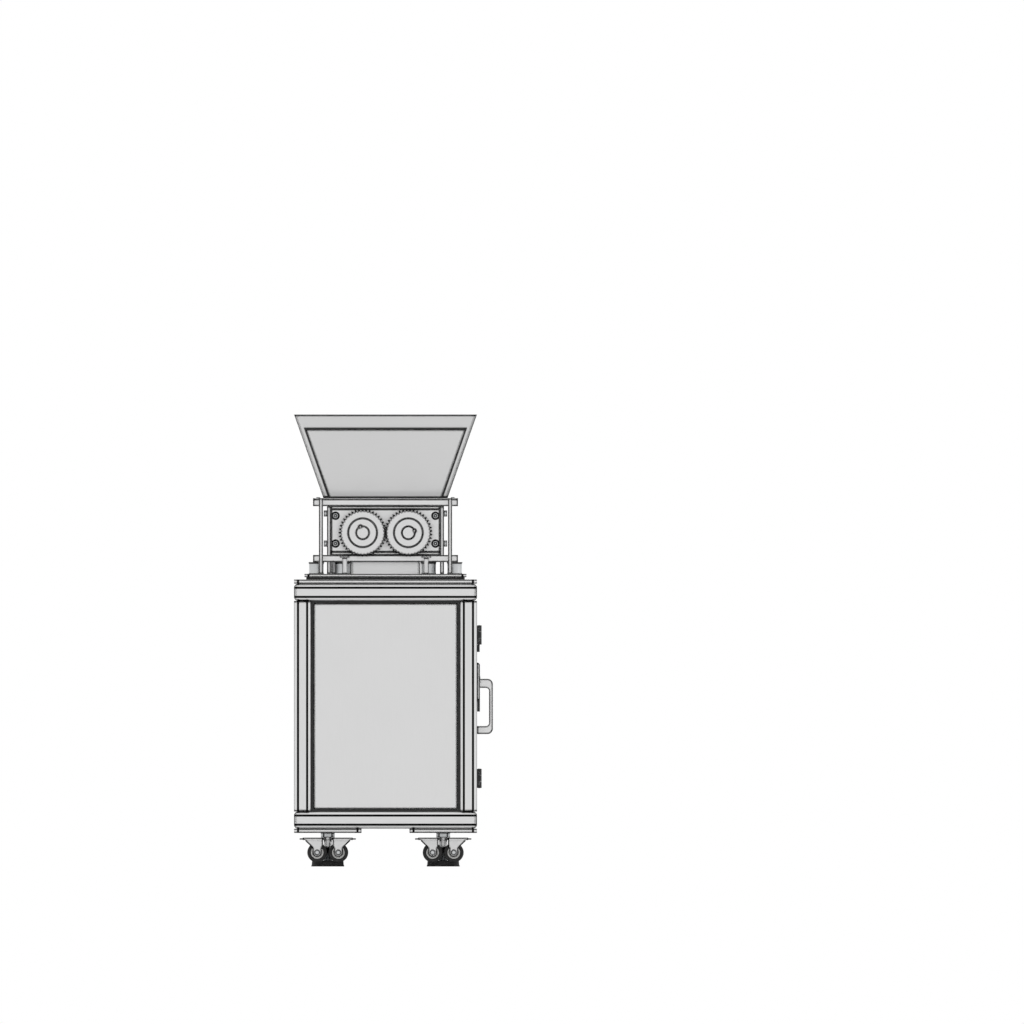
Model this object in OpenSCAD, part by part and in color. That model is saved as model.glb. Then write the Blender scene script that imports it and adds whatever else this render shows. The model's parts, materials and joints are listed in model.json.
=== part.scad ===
// Two-roller grain mill on a square-tube cabinet with levelling casters.
// Millimetres, +Z up. The gear end faces -Y and the cabinet door faces +X.

/* [Cabinet] */
// Width of the cabinet along X
cab_w = 406.4; // [404:0.2:430]
// Depth of the cabinet along Y
cab_d = 609.6; // [604:0.2:640]
// Height of the tube frame
cab_h = 544; // [520:1:620]
// Outside size of the square tube
tube_s = 38.1; // [36:0.1:42]
// Corner radius of the square tube
tube_r = 8.9; // [5:0.1:10]
// Wall of the square tube
tube_t = 2; // [1.5:0.1:3]
// Thickness of the side panels
panel_t = 3; // [1.5:0.1:4]
// Depth of the panels behind the face of the tubes
panel_inset = 8; // [4:0.5:12]
// Width of the rubber channel round each panel
gasket_w = 5.1; // [3:0.1:7]
// Depth of the rubber channel
gasket_d = 12; // [9:0.5:16]
// Thickness of the cabinet floor
floor_t = 2; // [1.5:0.1:4]
// Thickness of the table plate on the frame
table_t = 9.5; // [6:0.1:14]
// Corner radius of the plates
plate_r = 9; // [4:0.5:14]

/* [Door] */
// Depth of the folded door leaf
door_d = 25; // [18:1:30]
// Sheet thickness of the door leaf
door_t = 2; // [1.5:0.1:3]
// Gap between the door and the frame
door_gap = 2.5; // [1.5:0.1:4]
// Width of the door's rubber stop
stop_w = 12; // [8:1:16]
// Depth of the door's rubber stop
stop_d = 12; // [8:1:16]
// Height of the lower hinge above the floor
hinge_low_z = 174.5; // [160:0.5:200]
// Height of the upper hinge above the floor
hinge_high_z = 493; // [470:0.5:500]
// Height of each hinge
hinge_h = 42.5; // [36:0.5:50]
// Radius of the hinge knuckles
knuckle_r = 5.2; // [4.6:0.1:6]
// Radius of the hinge pins
hinge_pin_r = 2.5; // [2:0.1:3]
// Width of each hinge leaf
hinge_leaf_w = 30; // [26:1:34]
// Thickness of each hinge leaf
hinge_leaf_t = 4; // [3:0.1:4.4]
// Height of the bumper under the upper hinge
bumper_h = 16.2; // [10:0.2:20]
// Stand-out of the bumper
bumper_x = 6; // [4:0.5:9]
// Foot of the bow handle above the floor
handle_z = 294; // [270:1:310]
// Height of the bow handle
handle_h = 123; // [110:1:132]
// Stand-out of the bow handle
handle_x = 35.5; // [30:0.5:42]
// Thickness of the handle's grip
grip_t = 8.9; // [7:0.1:12]
// Thickness of the handle's lower arm
arm_low = 18; // [14:0.5:22]
// Thickness of the handle's upper arm
arm_high = 20.5; // [14:0.5:24]
// Width of the handle along Y
handle_w = 22; // [16:1:24]
// Distance of the handle from the door's free edge
handle_edge = 46; // [44:1:60]
// Foot of the latch above the floor
latch_z = 344; // [330:1:350]
// Height of the latch
latch_h = 109; // [100:1:116]
// Width of the latch along Y
latch_w = 24; // [18:1:26]
// Stand-out of the latch
latch_x = 6.5; // [5:0.1:9]
// Height of the latch's paddle
paddle_h = 26; // [20:1:32]
// Width of the lug that carries the paddle
paddle_lug = 8; // [6:0.5:10]
// Radius of the paddle's pin
paddle_pin_r = 1.5; // [1.2:0.1:1.8]
// Height of the door magnet's foot above the lower hinge
magnet_rise = 200; // [150:1:240]
// Height of the door magnet
magnet_h = 60; // [40:1:80]
// Width of the door magnet
magnet_w = 16; // [12:1:20]
// Outer radius of the bow handle's corners
handle_r = 12; // [9:0.5:14]
// Inner radius of the bow handle's corners
handle_in_r = 7; // [5:0.5:8]

/* [Casters] */
// Width of each caster plate
cplate_w = 150; // [140:1:158]
// Thickness of each caster plate
cplate_t = 9.5; // [8.5:0.1:12]
// Distance from the floor to the caster plate
cplate_z = 74.5; // [74:0.1:80]
// Radius of the swivel collar
collar_r = 15.5; // [13:0.1:18]
// Height of the swivel collar
collar_h = 10; // [9:0.1:12]
// Wall of the collar at its flats
collar_wall = 1.5; // [1.2:0.1:3]
// Radius of the swivel spigot
spigot_r = 8; // [7.6:0.1:9]
// Corner radius of the hexagonal stem
hex_r = 8.9; // [8.5:0.1:9.6]
// Width of the fork's top plate
fork_w = 111; // [104:1:118]
// Depth of the fork along the axles
fork_d = 80; // [78:1:90]
// Thickness of the fork's plates
fork_t = 3; // [2.5:0.1:4]
// Thickness of the fork's top plate
fork_top_t = 5.5; // [4:0.1:5.6]
// Half width of the slot that shows the stem
fork_slot = 10.5; // [10:0.1:12]
// Half width of the fork's side plates under the top plate
cheek_w = 49.7; // [46:0.1:52]
// Height of the straight edge at the top of the side plates
cheek_edge = 2.3; // [1.5:0.1:4]
// Height of the side plates' inner corners above the floor
cheek_mid_z = 44; // [43:0.5:46]
// Length of the ears on the fork's top plate
ear_l = 7; // [5:0.5:8]
// Half width of the ears
ear_w = 7; // [5:0.5:9]
// Thickness of the ears
ear_t = 3; // [2:0.5:4]
// Width of each axle lug
lug_w = 20; // [18:0.5:22]
// Distance of each axle from the stem
axle_x = 23.5; // [23:0.1:26]
// Height of the axles above the floor
axle_z = 31.1; // [30:0.1:32]
// Radius of the axles
axle_r = 4; // [3:0.1:5]
// Radius of the wheels
wheel_r = 22; // [21.8:0.1:22.4]
// Width of each wheel
wheel_w = 14; // [10:0.5:15]
// Distance from the stem to the middle of a wheel
wheel_y = 28; // [27.8:0.1:29]
// Length of the levelling pad
pad_l = 73; // [64:1:76]
// Width of the levelling pad
pad_w = 36; // [30:1:37]
// Height of the levelling pad
pad_h = 13.3; // [10:0.1:14]
// Radius of the thumbwheel
thumb_r = 14; // [12:0.5:15]
// Thickness of the thumbwheel
thumb_h = 6.8; // [5:0.1:6.9]
// Height of the thumbwheel above the floor
thumb_z = 21; // [19:0.1:21]
// Radius of the levelling screw
screw_r = 6; // [5:0.1:6.4]
// Height of the levelling screw's top above the floor
screw_top = 60; // [56:0.5:61]
// Height of the stem's lower end above the floor
stem_z0 = 41; // [38:0.5:44]
// Radius of the axles' end washers
washer_r = 6.5; // [5.5:0.1:8]
// Stand-out of the axles past the fork
axle_out = 3.4; // [2.5:0.1:4.5]
// Radius of the neck under the thumbwheel
neck_r = 9; // [7:0.5:10]
// Radius of the lock nut above the thumbwheel
lock_r = 10; // [8:0.5:12]
// Height of the lock nut
lock_h = 3; // [2:0.5:4]
// Thickness of the levelling pad's lower edge
pad_edge = 4; // [3:0.5:6]

/* [Mill head] */
// Distance from the table's sides to the head's base plate
base_side = 23.2; // [14:0.2:26]
// Distance from the table's ends to the head's base plate
base_back = 8.8; // [6:0.1:10]
// Thickness of the head's base plate
base_t = 7.5; // [6:0.1:12]
// Thickness of the rubber sheet under the base plate
sheet_t = 5; // [3:0.1:8]
// Distance from the front tubes to the space round the rollers
head_back = 28.4; // [26:0.1:30]
// Width of the head's frames
frame_w = 322; // [316:1:340]
// Thickness of the head's frames
frame_t = 15.9; // [12:0.1:18]
// Thickness of the frames' cross bars
bar_t = 12.7; // [10:0.1:14]
// Gap under the lower frame
mount_h = 26; // [24:0.5:30]
// Radius of the vibration mounts
mount_r = 17.3; // [14:0.1:17.4]
// Distance between the outer vibration mounts
mount_out = 307; // [306:0.5:312]
// Distance between the inner vibration mounts
mount_in = 191; // [190.4:0.2:200]
// Gap between a roller and the nearer side plate
side_clear = 20.05; // [18:0.05:24]
// Height of the end plates
end_h = 95.5; // [92:0.5:100]
// Thickness of the end plates
end_t = 12.7; // [10:0.1:14]
// Height of the strips above and below the end plates
strip_h = 6.4; // [4:0.1:8]
// Thickness of the side plates
side_t = 9; // [6:0.5:12]
// Width of each guard post
post_w = 9.2; // [8:0.1:12]
// Depth of each guard post
post_d = 30; // [24:1:34]
// Distance between the outer faces of the guard posts
post_out = 296; // [294:1:304]
// Distance from the side plates to the tie rods
tie_edge = 10; // [9:0.5:12]
// Distance between the tie rods along Z
tie_h = 61.8; // [58:0.2:64]
// Radius of the tie rods
tie_r = 8; // [6:0.5:9]
// Radius of the hold-down studs
stud_r = 5.5; // [4:0.1:6]
// Distance between the hold-down studs
stud_w = 181; // [176:1:184]
// Thickness of the hold-down studs' heads
stud_head_h = 3; // [2:0.5:4]
// Depth of the studs' heads below the top of the lower frame
stud_drop = 3; // [2:0.5:6]
// Distance from the end plates' middle down to the roller shafts
axis_drop = 4.85; // [4:0.05:6]
// Distance from the end plates' middle up to the middle of the tie rods
bolt_rise = 2.05; // [1:0.05:3]

/* [Rollers and gears] */
// Distance between the roller shafts
centres = 101.6; // [101.2:0.1:102]
// Gap between the two rollers
mill_gap = 1.3; // [0.8:0.1:2.5]
// Length of the rollers
roller_l = 228.6; // [222:0.2:230]
// Gap between a roller's end and the end plates
roller_end = 1; // [0.5:0.1:2]
// Radius of the roller shafts
shaft_r = 14.3; // [13:0.1:16]
// Running clearance of shafts, spigots and pins
running = 0.05; // [0.03:0.01:0.08]
// Outside radius of the bearings
bearing_r = 26; // [24:0.5:28]
// Radius of the bearings' flanges
flange_r = 38; // [36:0.5:40]
// Thickness of the bearings' flanges
flange_t = 9; // [6:0.5:11]
// Teeth of each gear
teeth = 40; // [36:4:44]
// Face width of the gears
gear_w = 22.2; // [18:0.2:23]
// Radius of the gears' hubs
gear_hub_r = 32; // [28:0.5:36]
// Stand-out of the gears' hubs
gear_hub_h = 6; // [4:0.5:7]
// Side of the square keys
key_s = 6.35; // [5:0.05:8]
// Backlash between the teeth at the pitch circle
backlash = 0.3; // [0.2:0.05:0.5]
// Thickness of the chute and guide plates
sheet_metal = 2; // [1.5:0.1:3]
// Width of the discharge duct
duct_w = 155.4; // [150:0.2:158]
// Height of the chute's upper edge above the lower frame
chute_rise = 12; // [10:0.5:14]
// Gap between the rollers and the chute's end plates
chute_clear = 2; // [1.5:0.1:3]
// Lean of the chute's end plates
chute_lean = 18; // [14:0.5:20]
// Gap between the rollers and the feed guides
guide_clear = 2.65; // [2:0.05:4]
// Angle of the feed guides' lower edges from the top of the rollers
guide_angle = 33.6; // [30:0.1:38]

/* [Hopper] */
// Width of the hopper's mouth
mouth_w = 406.4; // [390:0.2:420]
// Width of the hopper's foot
foot_w = 275.8; // [264:0.2:286]
// Depth of the hopper's foot
foot_d = 230; // [224:1:232]
// Height of the hopper above the frame
hopper_h = 185.7; // [160:0.1:220]
// Sheet thickness of the hopper
hopper_t = 2; // [1.5:0.1:3]
// Width of the border round the hopper's panel at its top corners
panel_side = 13.1; // [8:0.1:20]
// Height of the border above the hopper's panel
panel_top = 32.2; // [20:0.2:50]
// Thickness of the hopper's panel
hpanel_t = 1.5; // [1:0.1:2]

/* [Drive] */
// Distance from the head to the motor bracket
drive_gap = 66; // [64:1:72]
// Thickness of the motor bracket
bracket_t = 10; // [8:1:12]
// Radius of the gear case
case_r = 62; // [55:1:68]
// Length of the gear case
case_l = 62; // [50:1:66]
// Radius of the motor
motor_r = 79; // [70:1:80]
// Length of the motor
motor_l = 132; // [120:1:136]
// Radius of the motor's output shaft
out_r = 11; // [9:0.5:13]
// Length of the output shaft inside the gear case
out_l = 24; // [20:1:30]
// Radius of the coupling
coupling_r = 27; // [24:1:30]
// Length of each coupling hub
hub_l = 15; // [12:0.5:18]
// Length of the rubber spider between the hubs
spider_l = 8; // [6:0.5:9]
// Margin of the motor bracket round the gear case
bracket_edge = 8; // [4:0.5:12]
// Depth of the motor bracket's foot
bracket_foot = 26; // [20:1:32]
// Thickness of the motor bracket's foot
bracket_foot_t = 8; // [6:0.5:10]
// Half width of the saddle under the motor
saddle_w = 40; // [32:1:46]
// Depth of the saddle
saddle_d = 24; // [16:1:28]
// Distance from the motor's end to the saddle
saddle_end = 16; // [10:1:20]
// Depth of the motor in its saddle
saddle_rise = 14; // [10:1:18]
// Width of the terminal box
jbox_w = 52; // [44:1:56]
// Length of the terminal box along Y
jbox_l = 74; // [60:1:80]
// Height of the terminal box
jbox_h = 54; // [44:1:60]
// Depth of the terminal box in the motor's curve
jbox_in = 8; // [5:0.5:10]
// Distance from the motor's front to the terminal box
jbox_y = 30; // [20:1:36]
// Distance from the shafts up to the middle of the terminal box
jbox_rise = 3; // [0:0.5:8]
// Distance from the terminal box's inner side to the gland
gland_x = 30; // [24:1:34]
// Radius of the cable gland's bore
gland_bore = 5; // [4:0.1:6]
// Length of the cable gland
gland_l = 24; // [18:1:28]
// Wall of the cable gland
gland_wall = 4; // [3:0.5:6]
// Stand-out of the gland's hexagons over its body
gland_hex = 2; // [1:0.5:3]
// Length of the gland's hexagon at the box
gland_foot = 6; // [4:0.5:8]
// Length of the gland's cap nut
gland_nut = 7; // [5:0.5:9]

/* [Hidden] */
$fn = 96;
seat = 0.3;                                   // gap where two bodies pass face to face
x0 = -handle_x / 2;                           // puts the origin under the middle of the whole
hw = cab_w / 2;
hd = cab_d / 2;
in_w = hw - tube_s;                           // half the opening between the posts, X
in_d = hd - tube_s;                           // half the opening between the posts, Y
base_w = cab_w - 2 * base_side;
base_d = cab_d - 2 * base_back;
roller_r = (centres - mill_gap) / 2;
end_w = centres + 2 * (roller_r + side_clear);
frame_z = cplate_z + cplate_t;
post_z0 = frame_z + tube_s;
post_z1 = frame_z + cab_h - tube_s;
table_z = frame_z + cab_h;
sheet_z = table_z + table_t;
base_z0 = sheet_z + sheet_t;
base_z = base_z0 + base_t;
low_z0 = base_z + mount_h;                    // lower frame
low_z = low_z0 + frame_t;
end_z0 = low_z + strip_h;                     // end plates
end_z1 = end_z0 + end_h;
top_z0 = end_z1 + strip_h;                    // top frame
top_z = top_z0 + frame_t;
mid_z = (end_z0 + end_z1) / 2;
axis_z = mid_z - axis_drop;                   // roller shafts
bolt_z = mid_z + bolt_rise;                   // tie rods
tie_xs = [-end_w / 2 + tie_edge, end_w / 2 - tie_edge];
tie_zs = [bolt_z - tie_h / 2, bolt_z + tie_h / 2];
cavity = roller_l / 2 + roller_end;           // from the middle of the head to an end plate
head_y = -in_d + head_back + cavity;
end_y = cavity + end_t;
head_l = end_y + bar_t;                       // half the length of the head
front_y = head_y - head_l;
back_y = head_y + head_l;
side_x = end_w / 2 + side_t;
flange_z = top_z + hopper_t;
mouth_z = flange_z + hopper_h;
run = (mouth_w - foot_w) / 2;                 // how far each hopper wall leans out
lean = run / hopper_h;                        // tangent of their angle from upright
duct_x = duct_w / 2;
duct_z0 = post_z1 + 6;
gear_y = front_y - 1.5;                       // rear face of the gears
module_mm = centres / teeth;
pitch_r = centres / 2;
key_angles = [110, 17.5];
caster_xy = [[-1, -1], [1, -1], [1, 1], [-1, 1]];
cx = hw - cplate_w / 2;
cy = hd - cplate_w / 2;
door_w = 2 * in_d - 2 * door_gap;
door_z0 = post_z0 + door_gap;
door_z1 = post_z1 - door_gap;
hinge_x = hw + knuckle_r;
latch_y = -door_w / 2 + latch_w / 2 + 2;
paddle_r = (latch_x - seat) / 2;              // half the paddle's thickness
paddle_x = hw + seat + paddle_r;              // the paddle's pin
paddle_z = latch_z + paddle_h - seat - paddle_r;
spigot_head_r = spigot_r + 3.5;
spigot_head_h = 3.5;
spigot_clear = 0.4;                           // space over and round the spigot's head
bridge_z = cplate_z - collar_h;               // underside of the collar
fork_z1 = bridge_z - seat;
fork_z0 = fork_z1 - fork_top_t;
drive_x = -centres / 2;
shaft_end = back_y + drive_gap / 2;           // middle of the coupling
bracket_y = back_y + drive_gap;
case_y = bracket_y + bracket_t;               // front of the gear case
motor_y0 = case_y + case_l;
box_x = drive_x + motor_r - jbox_in;
box_y0 = motor_y0 + jbox_y;
box_z0 = axis_z + jbox_rise - jbox_h / 2;
steel = "silver";
bright = "gainsboro";
rubber = "#242424";

module here() translate([x0, 0, 0]) children();
module both() for (s = [-1, 1]) scale_x(s) children();
module scale_x(s) if (s < 0) mirror([1, 0, 0]) children(); else children();
module block(lo, hi) translate(lo) cube(hi - lo);
module along_y(y0, y1) translate([0, y1, 0]) rotate([90, 0, 0]) linear_extrude(y1 - y0) children();
module along_x(xa, xb) translate([xa, 0, 0]) rotate([90, 0, 90]) linear_extrude(xb - xa) children();
module rod_y(x, z, y0, y1, r) translate([x, y1, z]) rotate([90, 0, 0]) cylinder(h = y1 - y0, r = r);
module rod_z(x, y, z0, z1, r) translate([x, y, z0]) cylinder(h = z1 - z0, r = r);

module soft_square(w, h, r) {
    square([w - 2 * r, h], center = true);
    square([w, h - 2 * r], center = true);
    for (i = [-1, 1], j = [-1, 1]) translate([i * (w / 2 - r), j * (h / 2 - r)]) circle(r, $fn = 48);
}
module tube_2d() difference() {
    soft_square(tube_s, tube_s, tube_r);
    soft_square(tube_s - 2 * tube_t, tube_s - 2 * tube_t, tube_r - tube_t);
}
// A mitred ring of four tubes whose middle line lies at height z
module tube_ring(z) {
    long = hd - tube_s / 2;
    wide = hw - tube_s / 2;
    for (s = [-1, 1]) {
        intersection() {
            translate([0, s * long, z]) along_x(-hw, hw) tube_2d();
            translate([0, 0, z - tube_s]) linear_extrude(2 * tube_s)
                polygon([[-hw, s * hd], [hw, s * hd], [in_w, s * in_d], [-in_w, s * in_d]]);
        }
        intersection() {
            translate([s * wide, 0, z]) along_y(-hd, hd) tube_2d();
            translate([0, 0, z - tube_s]) linear_extrude(2 * tube_s)
                polygon([[s * hw, -hd], [s * hw, hd], [s * in_w, in_d], [s * in_w, -in_d]]);
        }
    }
}
module plate(w, d, z0, z1, r) translate([0, 0, z0]) linear_extrude(z1 - z0) soft_square(w, d, r);
module duct_hole(z0, z1, clear)
    block([-duct_x - clear, head_y - cavity, z0], [duct_x + clear, head_y + cavity, z1]);

// Cabinet ---------------------------------------------------------------
module frame_posts() color(steel) here()
    for (i = [-1, 1], j = [-1, 1])
        translate([i * (hw - tube_s / 2), j * (hd - tube_s / 2), post_z0])
            linear_extrude(post_z1 - post_z0) tube_2d();
module frame_rails() color(steel) here() for (z = [frame_z, table_z - tube_s]) tube_ring(z + tube_s / 2);

// A panel between two posts, drawn in the XZ plane for the ends of the cabinet
module end_panel(s) {
    ya = hd - panel_inset - panel_t;
    scale_y(s) block([-in_w + gasket_w, ya, post_z0 + gasket_w],
                     [in_w - gasket_w, ya + panel_t, post_z1 - gasket_w]);
}
module scale_y(s) if (s < 0) mirror([0, 1, 0]) children(); else children();
module side_panels() color(bright) here() {
    for (s = [-1, 1]) end_panel(s);
    block([-hw + panel_inset, -in_d + gasket_w, post_z0 + gasket_w],
          [-hw + panel_inset + panel_t, in_d - gasket_w, post_z1 - gasket_w]);
}
// Four bars round an opening of half width a, from z0 to z1
module bars(a, z0, z1, w, y0, y1) {
    for (s = [-1, 1]) scale_x(s) block([a - w, y0, z0], [a, y1, z1]);
    block([-a + w, y0, z0], [a - w, y1, z0 + w]);
    block([-a + w, y0, z1 - w], [a - w, y1, z1]);
}
module panel_gaskets() color(rubber) here() {
    ya = hd - panel_inset - gasket_d + 2;
    for (s = [-1, 1]) scale_y(s) bars(in_w, post_z0, post_z1, gasket_w, ya, ya + gasket_d);
    translate([-hw + panel_inset + gasket_d - 2, 0, 0]) rotate([0, 0, 90])
        bars(in_d, post_z0, post_z1, gasket_w, 0, gasket_d);
}
module cabinet_floor() color(bright) here()
    block([-in_w, -in_d, post_z0 - 3 - floor_t], [in_w, in_d, post_z0 - 3]);
module table_plate() color(bright) here() difference() {
    plate(cab_w, cab_d, table_z, sheet_z, plate_r);
    duct_hole(table_z - 1, sheet_z + 1, 4);
}
module base_sheet() color("dimgray") here() difference() {
    plate(base_w - 8, base_d - 8, sheet_z, base_z0, plate_r);
    duct_hole(sheet_z - 1, base_z0 + 1, 4);
}
module base_plate() color(bright) here() difference() {
    plate(base_w, base_d, base_z0, base_z, plate_r);
    duct_hole(base_z0 - 1, base_z + 1, 2);
}

// Door ------------------------------------------------------------------
module door_panel() color(bright) here() {
    difference() {
        block([hw - door_d, -door_w / 2, door_z0], [hw, door_w / 2, door_z1]);
        block([hw - door_d - 1, -door_w / 2 + door_t, door_z0 + door_t],
              [hw - door_t, door_w / 2 - door_t, door_z1 - door_t]);
    }
}
module door_stop() color(rubber) here() {
    xb = hw - door_d - seat;
    for (s = [-1, 1]) scale_y(s) block([xb - stop_d, in_d - stop_w, post_z0], [xb, in_d, post_z1]);
    for (z = [post_z0, post_z1 - stop_w])
        block([xb - stop_d, -in_d + stop_w, z], [xb, in_d - stop_w, z + stop_w]);
}
module door_magnet() color("#303030") here()
    block([hw - door_d - seat - stop_d, -in_d + stop_w, hinge_low_z + magnet_rise],
          [hw - door_d - seat, -in_d + stop_w + magnet_w, hinge_low_z + magnet_rise + magnet_h]);
// A block from the door's face out to w, with rounded outer corners
module soft_end(w, z0, z1, r) {
    translate([-1, z0]) square([w - r + 1, z1 - z0]);
    translate([0, z0 + r]) square([w, z1 - z0 - 2 * r]);
    for (z = [z0 + r, z1 - r]) translate([w - r, z]) circle(r);
}
module door_handle() color(bright) here() {
    edge = -door_w / 2 + handle_edge;
    translate([hw, 0, handle_z]) along_y(edge - handle_w / 2, edge + handle_w / 2) intersection() {
        difference() {
            soft_end(handle_x, 0, handle_h, handle_r);
            soft_end(handle_x - grip_t, arm_low, handle_h - arm_high, handle_in_r);
        }
        square([handle_x, handle_h]);
    }
}
// Slice of the latch, w wide along Y
module latch_slice(w) along_y(latch_y - w / 2, latch_y + w / 2) children();
module latch_plate() color(bright) here() {
    latch_slice(latch_w) {
        translate([hw, latch_z + paddle_h]) square([latch_x, latch_h - paddle_h - latch_x]);
        translate([hw, latch_z + latch_h - latch_x]) intersection() {
            circle(latch_x);
            square(latch_x);
        }
    }
    latch_slice(paddle_lug) difference() {
        union() {
            translate([paddle_x, paddle_z]) circle(paddle_r);
            translate([hw, paddle_z]) square([latch_x, latch_z + paddle_h - paddle_z]);
        }
        translate([paddle_x, paddle_z]) circle(paddle_pin_r + running);
    }
}
// The paddle hangs on its pin, round a lug of the latch plate
module latch_paddle() color(rubber) here() {
    difference() {
        latch_slice(latch_w) {
            translate([paddle_x, paddle_z]) circle(paddle_r);
            translate([hw + seat, latch_z]) square([latch_x - seat, paddle_z - latch_z]);
        }
        block([hw, latch_y - paddle_lug / 2 - seat, paddle_z - latch_x],
              [hw + 2 * latch_x, latch_y + paddle_lug / 2 + seat, latch_z + paddle_h]);
    }
    rod_y(paddle_x, paddle_z, latch_y - latch_w / 2, latch_y + latch_w / 2, paddle_pin_r);
}

// One hinge at height z: three knuckles and two leaves round a pin
module knuckle(z, part) rod_z(hinge_x, in_d, z + hinge_h * part / 3 + (part > 0 ? seat / 2 : 0),
    z + hinge_h * (part + 1) / 3 - (part < 2 ? seat / 2 : 0), knuckle_r);
module pin_bore(z) rod_z(hinge_x, in_d, z - 1, z + hinge_h + 1, hinge_pin_r + running);
module hinge_frame_leaves() color(rubber) here() {
    block([hw, in_d + knuckle_r + seat, hinge_high_z - bumper_h - seat],
          [hw + bumper_x, in_d + hinge_leaf_w, hinge_high_z - seat]);
    for (z = [hinge_low_z, hinge_high_z]) difference() {
        union() {
            for (p = [0, 2]) {
                knuckle(z, p);
                block([hw, in_d, z + hinge_h * p / 3 + (p > 0 ? seat / 2 : 0)],
                      [hw + hinge_leaf_t, in_d + 8, z + hinge_h * (p + 1) / 3 - (p < 2 ? seat / 2 : 0)]);
            }
            block([hw, in_d + knuckle_r + seat, z],
                  [hw + hinge_leaf_t, in_d + hinge_leaf_w, z + hinge_h]);
        }
        pin_bore(z);
    }
}
module hinge_door_leaves() color(rubber) here()
    for (z = [hinge_low_z, hinge_high_z]) difference() {
        union() {
            knuckle(z, 1);
            block([hw, in_d - 8, z + hinge_h / 3 + seat / 2],
                  [hw + hinge_leaf_t, in_d, z + hinge_h * 2 / 3 - seat / 2]);
            block([hw, in_d - hinge_leaf_w, z],
                  [hw + hinge_leaf_t, in_d - knuckle_r - seat, z + hinge_h]);
        }
        pin_bore(z);
    }
module hinge_pins() color("gray") here()
    for (z = [hinge_low_z, hinge_high_z]) rod_z(hinge_x, in_d, z - 0.5, z + hinge_h + 0.5, hinge_pin_r);

// Casters ---------------------------------------------------------------
module at_caster(k) here() translate([caster_xy[k][0] * cx, caster_xy[k][1] * cy, 0]) children();
// Adaptor plates: under each, a collar with a flat in front and behind
module caster_plates() color(steel) for (k = [0:3]) at_caster(k) difference() {
    union() {
        plate(cplate_w, cplate_w, cplate_z, frame_z, plate_r);
        rod_z(0, 0, bridge_z, cplate_z, collar_r);
    }
    for (t = [-1, 1]) scale_y(t)
        block([-hex_r, spigot_r + collar_wall, bridge_z - 1], [hex_r, collar_r + 1, cplate_z]);
    rod_z(0, 0, bridge_z - 1, frame_z + 1, spigot_r + running);
    rod_z(0, 0, frame_z - spigot_head_h - spigot_clear, frame_z + 1, spigot_head_r + spigot_clear);
}
// One side plate of the fork: slanting cheeks and a round lug for each axle
module cheek_2d() both() difference() {
    union() {
        polygon([[fork_slot, fork_z0], [cheek_w, fork_z0], [cheek_w, fork_z0 - cheek_edge],
                 [axle_x + lug_w / 2, stem_z0], [axle_x + lug_w / 2, axle_z], [axle_x - lug_w / 2, axle_z],
                 [axle_x - lug_w / 2, stem_z0], [fork_slot, cheek_mid_z]]);
        translate([axle_x, axle_z]) circle(lug_w / 2);
    }
    translate([axle_x, axle_z]) circle(axle_r + running);
}
module caster_fork(k) color("lightgray") at_caster(k) {
    difference() {
        union() {
            for (s = [-1, 1]) scale_y(s) along_y(fork_d / 2 - fork_t, fork_d / 2) cheek_2d();
            block([-fork_w / 2, -fork_d / 2, fork_z0], [fork_w / 2, fork_d / 2, fork_z1]);
            both() block([fork_w / 2, -ear_w, fork_z0 + 1], [fork_w / 2 + ear_l, ear_w, fork_z0 + 1 + ear_t]);
        }
        for (s = [-1, 1]) scale_y(s)
            block([-fork_slot, hex_r / 2, fork_z0 - 1], [fork_slot, fork_d, fork_z1 + 1]);
        rod_z(0, 0, fork_z0 - 1, fork_z1 + 1, spigot_r);
    }
    difference() {
        union() {
            translate([0, 0, stem_z0]) cylinder(h = fork_z0 - stem_z0, r = hex_r, $fn = 6);
            rod_z(0, 0, fork_z0, frame_z - spigot_clear, spigot_r);
            rod_z(0, 0, frame_z - spigot_head_h, frame_z - spigot_clear, spigot_head_r);
        }
        rod_z(0, 0, stem_z0 - 1, screw_top + 12, screw_r + running);
    }
}
// An axle with a near and a far wheel
module caster_wheels(k, s) color(rubber) at_caster(k) scale_x(s) {
    rod_y(axle_x, axle_z, -fork_d / 2 - axle_out, fork_d / 2 + axle_out, axle_r);
    for (t = [-1, 1]) scale_y(t) {
        rod_y(axle_x, axle_z, fork_d / 2 + seat, fork_d / 2 + axle_out, washer_r);
        rod_y(axle_x, axle_z, wheel_y - wheel_w / 2, wheel_y + wheel_w / 2, wheel_r);
    }
}
module oblong(l, w) {
    square([l - w, w], center = true);
    for (s = [-1, 1]) translate([s * (l - w) / 2, 0]) circle(w / 2);
}
module level_foot(k) color(rubber) at_caster(k) {
    linear_extrude(pad_edge) oblong(pad_l, pad_w);
    linear_extrude(pad_h) oblong(pad_l - 3, pad_w - 3);
    rod_z(0, 0, pad_h - 1, thumb_z + 1, neck_r);
    rod_z(0, 0, thumb_z, thumb_z + thumb_h, thumb_r);
    rod_z(0, 0, thumb_z + thumb_h - 1, thumb_z + thumb_h + lock_h, lock_r);
    rod_z(0, 0, thumb_z, screw_top, screw_r);
}

// Mill head -------------------------------------------------------------
module vibration_mounts() color("#3a3a3a") here()
    for (x = [mount_out / 2, mount_in / 2], y = [front_y + mount_r + 0.2, back_y - mount_r - 0.2])
        both() rod_z(x, y, base_z, low_z0, mount_r);
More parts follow.
